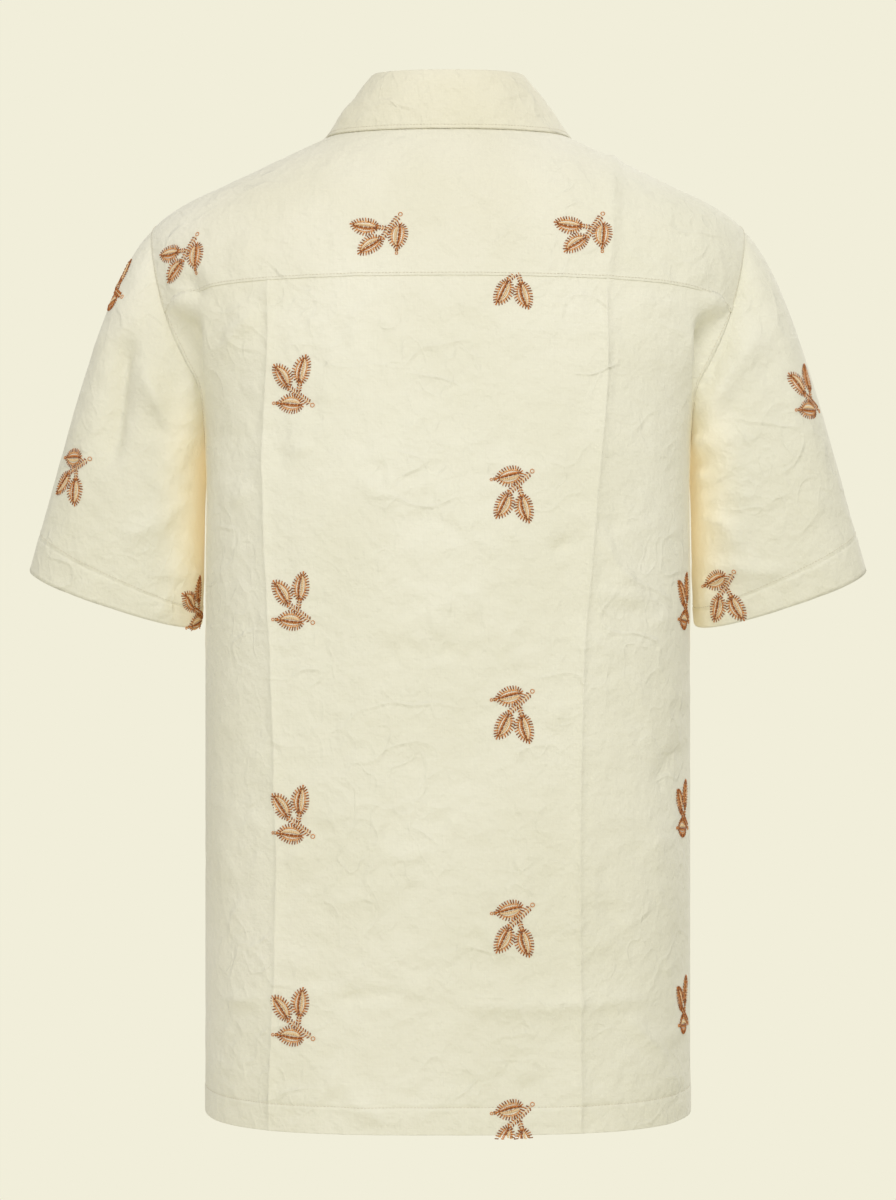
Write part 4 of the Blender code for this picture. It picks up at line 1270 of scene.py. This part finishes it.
def thread_mesh(name, starts, ends, normals, thick, proud, colours, material):
    """Stitches as one mesh: each is a tip, a ring of four, a ring of four and a tip.

    The rings lie in from both ends by a fifth of the length, or half the thickness where
    that is less. They are raised along the cloth's outward direction by so many
    thicknesses, and the tips are sunk into it.
    """
    count = len(starts)
    along = unit(ends - starts)
    side = unit(np.cross(normals, along))
    half = (thick / 2)[:, None]
    length = np.linalg.norm(ends - starts, axis=1)[:, None]
    lifted = normals * (proud * thick)[:, None]
    inset = along * np.minimum(STITCH_END_SHARE * length, half)
    turns = ((side, 1.0), (normals, 1.0), (side, -1.0), (normals, -1.0))
    first = [starts + inset + lifted + axis * half * sign for axis, sign in turns]
    second = [ends - inset + lifted + axis * half * sign for axis, sign in turns]
    sunk = normals * STITCH_SINK * half
    verts = np.stack([starts - sunk, *first, *second, ends - sunk], axis=1).reshape(-1, 3)
    tips = [(0, 2, 1), (0, 3, 2), (0, 4, 3), (0, 1, 4), (9, 5, 6), (9, 6, 7), (9, 7, 8), (9, 8, 5)]
    sides = [(1, 2, 6), (1, 6, 5), (2, 3, 7), (2, 7, 6), (3, 4, 8), (3, 8, 7), (4, 1, 5), (4, 5, 8)]
    one = np.array(tips + sides)
    faces = (one[None] + np.arange(count)[:, None, None] * 10).reshape(-1, 3)
    mesh = bpy.data.meshes.new(name)
    mesh.from_pydata(verts.tolist(), [], faces.tolist())
    colour = mesh.attributes.new("thread", "FLOAT_COLOR", "POINT")
    rgba = np.concatenate([colours, np.ones((count, 1))], axis=1)
    colour.data.foreach_set("color", np.repeat(rgba, 10, axis=0).reshape(-1).astype(np.float32))
    mesh.shade_smooth()
    return add_piece(name, mesh, material)


def body_place(around, height):
    """The point of the body at a length round from the centre back, left positive."""
    way = np.linspace(90.0, -90.0, DENSE)
    line = body_point(way, np.full(DENSE, height))
    run = running_length(line)
    bearing = np.interp(abs(around), run, way)
    point = body_point(bearing, height)
    return point * np.array([math.copysign(1.0, around), 1.0, 1.0])


def sprig_places(panel, points, normals):
    """The centres of a panel's sprigs, each with its turn and whether it is flipped."""
    for name, around, kind in BODY_SPRIG_COLUMNS:
        if name == panel:
            for height in BODY_SPRIG_HEIGHTS[kind]:
                flipped = kind == FLIPPED_KIND
                yield body_place(around, height), FLIPPED_SPRIG_TURN * flipped, flipped
    for name, x, height, turn, flipped, facing in OTHER_SPRIGS:
        if name == panel:
            apart = np.hypot(points[..., 0] - x, points[..., 2] - height)
            apart = apart + (normals[..., 1] * facing < 0.02)
            at = np.unravel_index(np.argmin(apart), apart.shape)
            yield points[at], turn, flipped


def panel_sprigs(panel, points, wraps, material):
    """All sprigs of a panel as one mesh; stitches that pass its edge are left out."""
    normals = grid_normals(points, wraps)
    starts, ends, thick, proud, colours = sprig()
    parts = []
    for centre, turn, flipped in sprig_places(panel, points, normals):
        apart = np.linalg.norm(points - centre, axis=-1)
        at = np.unravel_index(np.argmin(apart), apart.shape)
        if apart[at] > SPRIG_REACH:
            continue
        out = normals[at]
        centre = centre + out * ((points[at] - centre) @ out)
        right = unit(np.cross(np.array([0.0, 0.0, 1.0]), out))
        above = np.cross(out, right)
        angle = math.radians(turn)
        spin = np.array([[math.cos(angle), -math.sin(angle)], [math.sin(angle), math.cos(angle)]])
        upright = np.array([1.0, -1.0 if flipped else 1.0])
        flat = [(places * upright) @ spin.T for places in (starts, ends)]
        begin, facing, gap_a = on_panel(flat[0], centre, right, above, points, normals)
        finish, _, gap_b = on_panel(flat[1], centre, right, above, points, normals)
        kept = (gap_a < EDGE_GAP) & (gap_b < EDGE_GAP)
        parts.append([values[kept] for values in (begin, finish, facing, thick, proud, colours)])
    joined = [np.concatenate(values) for values in zip(*parts)]
    return thread_mesh(f"sprigs_{panel}", *joined, material)


def running_stitches(line, normals, pitch, share):
    """Running stitches along a line of points: each covers this share of the pitch."""
    run = running_length(line)
    begin = np.arange(pitch * 0.3, run[-1] - pitch, pitch)

    def at(place, values):
        return np.stack([np.interp(place, run, values[:, axis]) for axis in range(3)], axis=-1)

    return at(begin, line), at(begin + pitch * share, line), unit(at(begin + pitch / 2, normals))


def cream_stitches(name, rows, material, thickness, proud, shade):
    """Plain stitches as one mesh, from rows of starts, ends and outward directions."""
    starts, ends, facing = (np.concatenate(values) for values in zip(*rows))
    colours = np.broadcast_to(np.array(CREAM) * shade, (len(starts), 3))
    thick, raised = (np.full(len(starts), value) for value in (thickness, proud))
    return thread_mesh(name, starts, ends, facing, thick, raised, colours, material)


def seam_stitches(name, lines, material):
    """Topstitching along several lines as one mesh."""
    rows = [running_stitches(line, out, SEAM_PITCH, SEAM_SHARE) for line, out in lines]
    return cream_stitches(name, rows, material, SEAM_THREAD, 0.25, 0.93)


def nearest_row(points, height):
    """The row of a panel whose middle is nearest this height."""
    return int(np.argmin(np.abs(points[:, points.shape[1] // 3, 2] - height)))


class Nodes:
    """A material's nodes, made and joined in short calls."""

    def __init__(self, name):
        self.material = bpy.data.materials.new(name)
        self.material.use_nodes = True
        self.tree = self.material.node_tree
        self.shader = self.tree.nodes["Principled BSDF"]

    def add(self, kind, inputs=(), **settings):
        """A new node with these settings and inputs."""
        node = self.tree.nodes.new(kind)
        for key, value in settings.items():
            setattr(node, key, value)
        for key, value in dict(inputs).items():
            self.put(node, key, value)
        return node

    def put(self, node, key, value):
        """Sets a socket to a number or colour, or joins it to another socket."""
        if isinstance(value, bpy.types.NodeSocket):
            self.tree.links.new(value, node.inputs[key])
        else:
            node.inputs[key].default_value = value

    def maths(self, operation, *values):
        """One operation on one or two values."""
        node = self.add("ShaderNodeMath", dict(enumerate(values)), operation=operation)
        return node.outputs[0]

    def noise(self, vector, scale, detail=2.0, roughness=0.5):
        """Soft noise between about 0.2 and 0.8."""
        inputs = {"Vector": vector, "Scale": scale, "Detail": detail, "Roughness": roughness}
        return self.add("ShaderNodeTexNoise", inputs).outputs["Fac"]

    def line_of(self, value, reach):
        """1 along the lines where the value is a half, falling to 0 at the reach beside them."""
        away = self.maths("ABSOLUTE", self.maths("SUBTRACT", value, 0.5))
        return self.ramp(away, 0.0, reach, 1.0, 0.0)

    def ramp(self, value, low, high, at_low, at_high):
        """A straight ramp between two values, level beyond them."""
        inputs = {0: value, 1: low, 2: high, 3: at_low, 4: at_high}
        return self.add("ShaderNodeMapRange", inputs).outputs[0]

    def mix(self, share, first, second, blend="MIX"):
        """The first colour with this share of the second."""
        node = self.add("ShaderNodeMix", data_type="RGBA", blend_type=blend)
        for place, value in ((0, share), (6, first), (7, second)):
            self.put(node, place, value)
        return node.outputs[2]

    def stretched(self, vector, scale):
        """Coordinates times a scale on each axis."""
        inputs = {"Vector": vector, "Scale": scale}
        return self.add("ShaderNodeMapping", inputs).outputs["Vector"]

    def solid(self):
        """Places on the piece itself, in metres."""
        return self.add("ShaderNodeTexCoord").outputs["Object"]

    def finish(self, sockets, bumps=()):
        """Fills the shader's sockets, and lays bumps of strength, depth and height in turn."""
        normal = {}
        for strength, depth, height in bumps:
            inputs = {"Strength": strength, "Distance": depth, "Height": height, **normal}
            normal = {"Normal": self.add("ShaderNodeBump", inputs).outputs[0]}
        for key, value in {**sockets, **normal}.items():
            self.put(self.shader, key, value)
        return self.material


def cloth_material(name, colour):
    """Cream plain weave: crossed threads with slubs, soft mottling and fine creases.

    The creases are thin lines where a noise passes a half, only in patches, over a faint
    crinkle. Beside the body a painted warm bounce light, a warmer tone and a glow, comes from the
    piece's attribute.
    """
    nodes = Nodes(name)
    flat = nodes.add("ShaderNodeUVMap", uv_map="weave").outputs["UV"]
    solid = nodes.solid()
    parts = nodes.add("ShaderNodeSeparateXYZ", {0: flat}).outputs
    turn = math.tau / WEAVE_PITCH
    across = nodes.maths("SINE", nodes.maths("MULTIPLY", parts[0], turn))
    along = nodes.maths("SINE", nodes.maths("MULTIPLY", parts[1], turn))
    weave = nodes.maths("MULTIPLY", across, along)
    weft = nodes.noise(nodes.stretched(flat, (55.0, 1500.0, 1.0)), 1.0, 2.0)
    warp = nodes.noise(nodes.stretched(flat, (1500.0, 45.0, 1.0)), 1.0, 2.0)
    slubs = nodes.maths("ADD", weft, warp)
    crinkle = nodes.noise(solid, 75.0, 3.0, 0.55)
    patches = nodes.ramp(nodes.noise(solid, 13.0, 1.0), 0.44, 0.60, 0.0, 1.0)
    fold = nodes.noise(nodes.stretched(solid, (20.0, 20.0, 27.0)), 1.0, 0.8, 0.4)
    fine = nodes.noise(nodes.stretched(solid, (52.0, 52.0, 38.0)), 1.0, 1.0, 0.4)
    lines = nodes.maths("MULTIPLY", nodes.line_of(fold, 0.036), patches)
    fine_lines = nodes.maths("MULTIPLY", nodes.line_of(fine, 0.045), patches)
    mottle = nodes.noise(solid, 9.0, 2.0)
    broad = nodes.noise(solid, 2.6, 1.0)
    pale = tuple(value * 1.035 for value in colour)
    deep = (colour[0] * 0.955, colour[1] * 0.950, colour[2] * 0.905)
    painted_crevice_light = nodes.add("ShaderNodeAttribute", attribute_name="painted_crevice_light").outputs["Fac"]
    tone = nodes.mix(nodes.ramp(mottle, 0.32, 0.68, 0.0, 1.0), (*deep, 1.0), (*pale, 1.0))
    tone = nodes.mix(nodes.ramp(broad, 0.35, 0.65, 0.0, 0.35), tone, (*GREENISH_CREAM, 1.0))
    tone = nodes.mix(nodes.ramp(slubs, 0.80, 1.25, 0.0, 0.16), tone, (*SLUB, 1.0))
    # Painted warm bounce light: the tone turns warm and lighter in the crevice beside the body
    tone = nodes.mix(nodes.maths("MULTIPLY", painted_crevice_light, PAINTED_WARM_SHADE_SHARE), tone, (*PAINTED_WARM_SHADE, 1.0))
    sockets = {
        "Base Color": tone,
        "Roughness": nodes.ramp(mottle, 0.3, 0.7, 0.80, 0.92),
        "Sheen Weight": 0.18,
        "Sheen Roughness": 0.45,
        "Specular IOR Level": 0.25,
        # Painted glow: emission standing in for warm bounce light in the crevice beside the body
        "Emission Color": PAINTED_WARM_GLOW,
        "Emission Strength": nodes.maths("MULTIPLY", painted_crevice_light, PAINTED_WARM_GLOW_STRENGTH),
    }
    bumps = (
        (1.0, 0.00055, lines),
        (1.0, 0.00030, fine_lines),
        (0.75, 0.0034, crinkle),
        (0.35, 0.0003, slubs),
        (0.30, 0.00012, weave),
    )
    return nodes.finish(sockets, bumps)


def thread_material(name):
    """Lustrous stitching thread in the colour that each stitch carries."""
    nodes = Nodes(name)
    colour = nodes.add("ShaderNodeAttribute", attribute_name="thread").outputs["Color"]
    fibre = nodes.noise(nodes.solid(), 2600.0, 2.0)
    shade = nodes.mix(nodes.ramp(fibre, 0.3, 0.7, 0.0, 0.35), colour, FIBRE_SHADE, "MULTIPLY")
    sockets = {
        "Base Color": shade,
        "Roughness": nodes.ramp(fibre, 0.2, 0.8, 0.42, 0.60),
        "Specular IOR Level": 0.3,
    }
    return nodes.finish(sockets, ((0.5, 0.0001, fibre),))


def pearl_material(name):
    """Cream pearl: wavy pale layers under a clear polish."""
    nodes = Nodes(name)
    wave = nodes.noise(nodes.stretched(nodes.solid(), (1.0, 1.0, 2.2)), 260.0, 3.0, 0.6)
    sockets = {
        "Base Color": nodes.mix(nodes.ramp(wave, 0.35, 0.65, 0.0, 1.0), PEARL_DEEP, PEARL_PALE),
        "Roughness": nodes.ramp(wave, 0.3, 0.7, 0.20, 0.34),
        "Coat Weight": 0.5,
        "Coat Roughness": 0.08,
    }
    return nodes.finish(sockets, ((0.15, 0.0002, wave),))


def mottled_material(name, scale, deep, pale, roughness):
    """A plain dull finish that wanders between two tones: the painted shade in a button's holes,
    and the floor.
    """
    nodes = Nodes(name)
    tone = nodes.mix(nodes.noise(nodes.solid(), scale), deep, pale)
    return nodes.finish({"Base Color": tone, "Roughness": roughness})


def add_camera():
    """The camera stands square behind the wearer, level with the middle of the shirt."""
    data = bpy.data.cameras.new("camera")
    data.lens = CAMERA_LENS
    data.sensor_width = 36.0
    camera = bpy.data.objects.new("camera", data)
    camera.location = CAMERA_PLACE
    camera.rotation_euler = (math.radians(90), 0.0, math.radians(180))
    bpy.context.scene.collection.objects.link(camera)
    bpy.context.scene.camera = camera


def add_light(name, place, size, watts):
    """A square soft light that faces the middle of the shirt."""
    light = bpy.data.lights.new(name, "AREA")
    light.energy = watts
    light.size = size
    lamp = bpy.data.objects.new(name, light)
    lamp.location = place
    towards = Vector(SHIRT_MIDDLE) - lamp.location
    lamp.rotation_euler = towards.to_track_quat("-Z", "Y").to_euler()
    bpy.context.scene.collection.objects.link(lamp)


def add_surroundings():
    """Even pale light from all round, a cream backdrop where the camera looks, and the floor."""
    world = bpy.data.worlds.new("studio")
    bpy.context.scene.world = world
    world.use_nodes = True
    tree = world.node_tree
    glow = tree.nodes["Background"]
    glow.inputs["Color"].default_value = SURROUND
    glow.inputs["Strength"].default_value = GLOW
    backdrop = tree.nodes.new("ShaderNodeBackground")
    backdrop.inputs["Color"].default_value = BACKDROP
    seen = tree.nodes.new("ShaderNodeLightPath").outputs["Is Camera Ray"]
    choose = tree.nodes.new("ShaderNodeMixShader")
    tree.links.new(seen, choose.inputs[0])
    tree.links.new(glow.outputs[0], choose.inputs[1])
    tree.links.new(backdrop.outputs[0], choose.inputs[2])
    tree.links.new(choose.outputs[0], tree.nodes["World Output"].inputs["Surface"])
    bpy.context.scene.view_settings.view_transform = "Standard"
    turn = np.linspace(0, math.tau, FLOOR_CORNERS, endpoint=False)
    level = np.full(FLOOR_CORNERS, FLOOR_HEIGHT)
    ring = np.stack([FLOOR_RADIUS * np.cos(turn), FLOOR_RADIUS * np.sin(turn), level], axis=-1)
    mesh = bpy.data.meshes.new("floor")
    mesh.from_pydata(ring.tolist(), [], [list(range(FLOOR_CORNERS))])
    mesh.materials.append(mottled_material("floor", 1.5, FLOOR_DEEP, FLOOR_PALE, 0.9))
    floor = bpy.data.objects.new("floor", mesh)
    bpy.context.scene.collection.objects.link(floor)


def button_details(points, normals, thread, dark):
    """The buttons' four holes as dark discs of painted shade, their crossing threads, and the sewn
    buttonholes under them.
    """
    hole_turn = np.linspace(0, math.tau, HOLE_CORNERS, endpoint=False)
    spread = np.array([-HOLE_SPREAD, HOLE_SPREAD])
    near_flat, far_flat = buttonhole_stitches()
    right = np.array([1.0, 0.0, 0.0])
    holes, threads, sewn = [], [], []
    for number in range(BUTTON_COUNT):
        height = BUTTON_TOP_HEIGHT - BUTTON_PITCH * number
        surface, out = body_point(-90.0, height), body_normal(-90.0, height)
        above = np.cross(out, right)
        face = surface + out * (LAP_LIFT + BUTTON_FACE)
        corners = face + right * np.tile(spread, 2)[:, None] + above * np.repeat(spread, 2)[:, None]
        ring = right * np.cos(hole_turn)[:, None] + above * np.sin(hole_turn)[:, None]
        ring = ring[None] * HOLE_RADIUS + out * HOLE_LIFT
        holes.append((corners[:, None] + ring).reshape(-1, 3))
        for shift in (-THREAD_SHIFT, THREAD_SHIFT):
            pair = corners + right * shift + out * THREAD_LIFT
            threads.append((pair[:2], pair[2:], np.tile(out, (2, 1))))
        centre = surface + out * LAP_LIFT
        begin, facing, _ = on_panel(near_flat, centre, right, above, points, normals)
        finish, _, _ = on_panel(far_flat, centre, right, above, points, normals)
        sewn.append((begin, finish, facing))
    cream_stitches("button_thread", threads, thread, BUTTON_THREAD, 0.3, 1.0)
    cream_stitches("buttonholes", sewn, thread, BUTTONHOLE_THREAD, 0.3, 0.9)
    # Dark discs on each button's face: painted shade where its holes are
    mesh = bpy.data.meshes.new("button_hole_shade")
    verts = np.concatenate(holes)
    faces = np.arange(len(verts)).reshape(-1, HOLE_CORNERS)
    mesh.from_pydata(verts.tolist(), [], faces.tolist())
    add_piece("button_hole_shade", mesh, dark)


def buttonhole_stitches():
    """The flat starts and ends of a buttonhole: a row on each side of the slit, then bars."""
    half = SLIT_STITCHES // 2
    slit = np.arange(-half, half + 1) * SLIT_PITCH
    flats = []
    for side in (-1.0, 1.0):
        near = np.stack([np.full(SLIT_STITCHES, SLIT_INNER * side), slit], axis=-1)
        far = np.stack([np.full(SLIT_STITCHES, SLIT_OUTER * side), slit + SLIT_SLANT], axis=-1)
        flats.append((near, far))
    for end in (-BAR_HEIGHT, BAR_HEIGHT):
        near = np.array([[-SLIT_OUTER, end], [-SLIT_OUTER, end + BAR_STEP * np.sign(end)]])
        flats.append((near, near * np.array([-1.0, 1.0])))
    return (np.concatenate(values) for values in zip(*flats))


def row_from_end(points, distance):
    """The row whose mean distance from the last row, along the columns, is nearest this."""
    run = lengthwise(points, 0)
    left = (run[-1:] - run).mean(axis=1)
    return int(np.argmin(np.abs(left - distance)))


def stitched_lines(name, points, normals):
    """The lines of topstitching of each panel, as rows and columns of its grid."""

    def row(index, first=None, last=None):
        return points[index, first:last], normals[index, first:last]

    def edge(index, first=None, last=None):
        return points[first:last, index], normals[first:last, index]

    def closed(index):
        return tuple(np.concatenate([v[index], v[index][:1]]) for v in (points, normals))

    hem = nearest_row(points, HEM_HEIGHT + HEM_TURN)
    low = nearest_row(points, UNDERARM_HEIGHT) + 2
    if name == "back":
        return [row(hem), edge(1, low), edge(-2, low)]
    if name == "front_left":
        return [row(hem), edge(1, None, -2), edge(9, None, -6), edge(-2, low, -1)]
    if name == "front_right":
        return [row(hem), edge(-2, None, -2), edge(1, low, -1)]
    if name == "yoke":
        arm = YOKE_CAP_COLUMNS + YOKE_BLADE_COLUMNS
        return [row(-4, arm, -arm), row(-4, None, arm), row(-4, -arm, None), edge(1), edge(-2)]
    if name == "collar":
        return [row(-3)]
    return [closed(row_from_end(points, CUFF_TURN))]


def dress_panel(name, points, wraps, tucked, cloth, thread):
    """One panel with its cloth, its sprigs and its topstitching."""
    thickness = COLLAR_THICKNESS if name == "collar" else CLOTH_THICKNESS
    wall = add_wall(f"{name}_cloth", name, points, wraps, thickness, cloth)
    shown = points[tucked[0] : points.shape[0] - tucked[1]]
    normals = grid_normals(shown, wraps)
    pieces = [seam_stitches(f"stitching_{name}", stitched_lines(name, shown, normals), thread)]
    if name != "collar":
        pieces.append(panel_sprigs(name, shown, wraps, thread))
    return shown, normals


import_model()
add_camera()
add_light("key", KEY_PLACE, KEY_SIZE, KEY_WATTS)
add_light("fill", FILL_PLACE, FILL_SIZE, FILL_WATTS)
add_light("front_soft", FRONT_PLACE, FRONT_SIZE, FRONT_WATTS)
add_surroundings()

cream = cloth_material("cream cloth", CLOTH_COLOUR)
collar_cream = cloth_material("collar cloth", COLLAR_COLOUR)
copper = thread_material("stitching thread")
pearl = pearl_material("pearl")
hole_shade = mottled_material("button hole shade", 900.0, HOLE_SHADE_DEEP, HOLE_SHADE_PALE, 0.7)

shown, normals = dress_panel("front_left", front_grid(True), False, (0, 1), cream, copper)
button_details(shown, normals, copper, hole_shade)
dress_panel("front_right", front_grid(False), False, (0, 1), cream, copper)
dress_panel("back", back_grid(), False, (0, 1), cream, copper)
dress_panel("yoke", yoke_grid(), False, (0, 0), cream, copper)
dress_panel("sleeve_left", sleeve_grid(1.0), True, (1, 0), cream, copper)
dress_panel("sleeve_right", sleeve_grid(-1.0), True, (1, 0), cream, copper)
dress_panel("collar", collar_grid(), False, (0, 0), collar_cream, copper)
for number in range(BUTTON_COUNT):
    for slot in bpy.data.objects[f"button_{number + 1}"].material_slots:
        slot.material = pearl
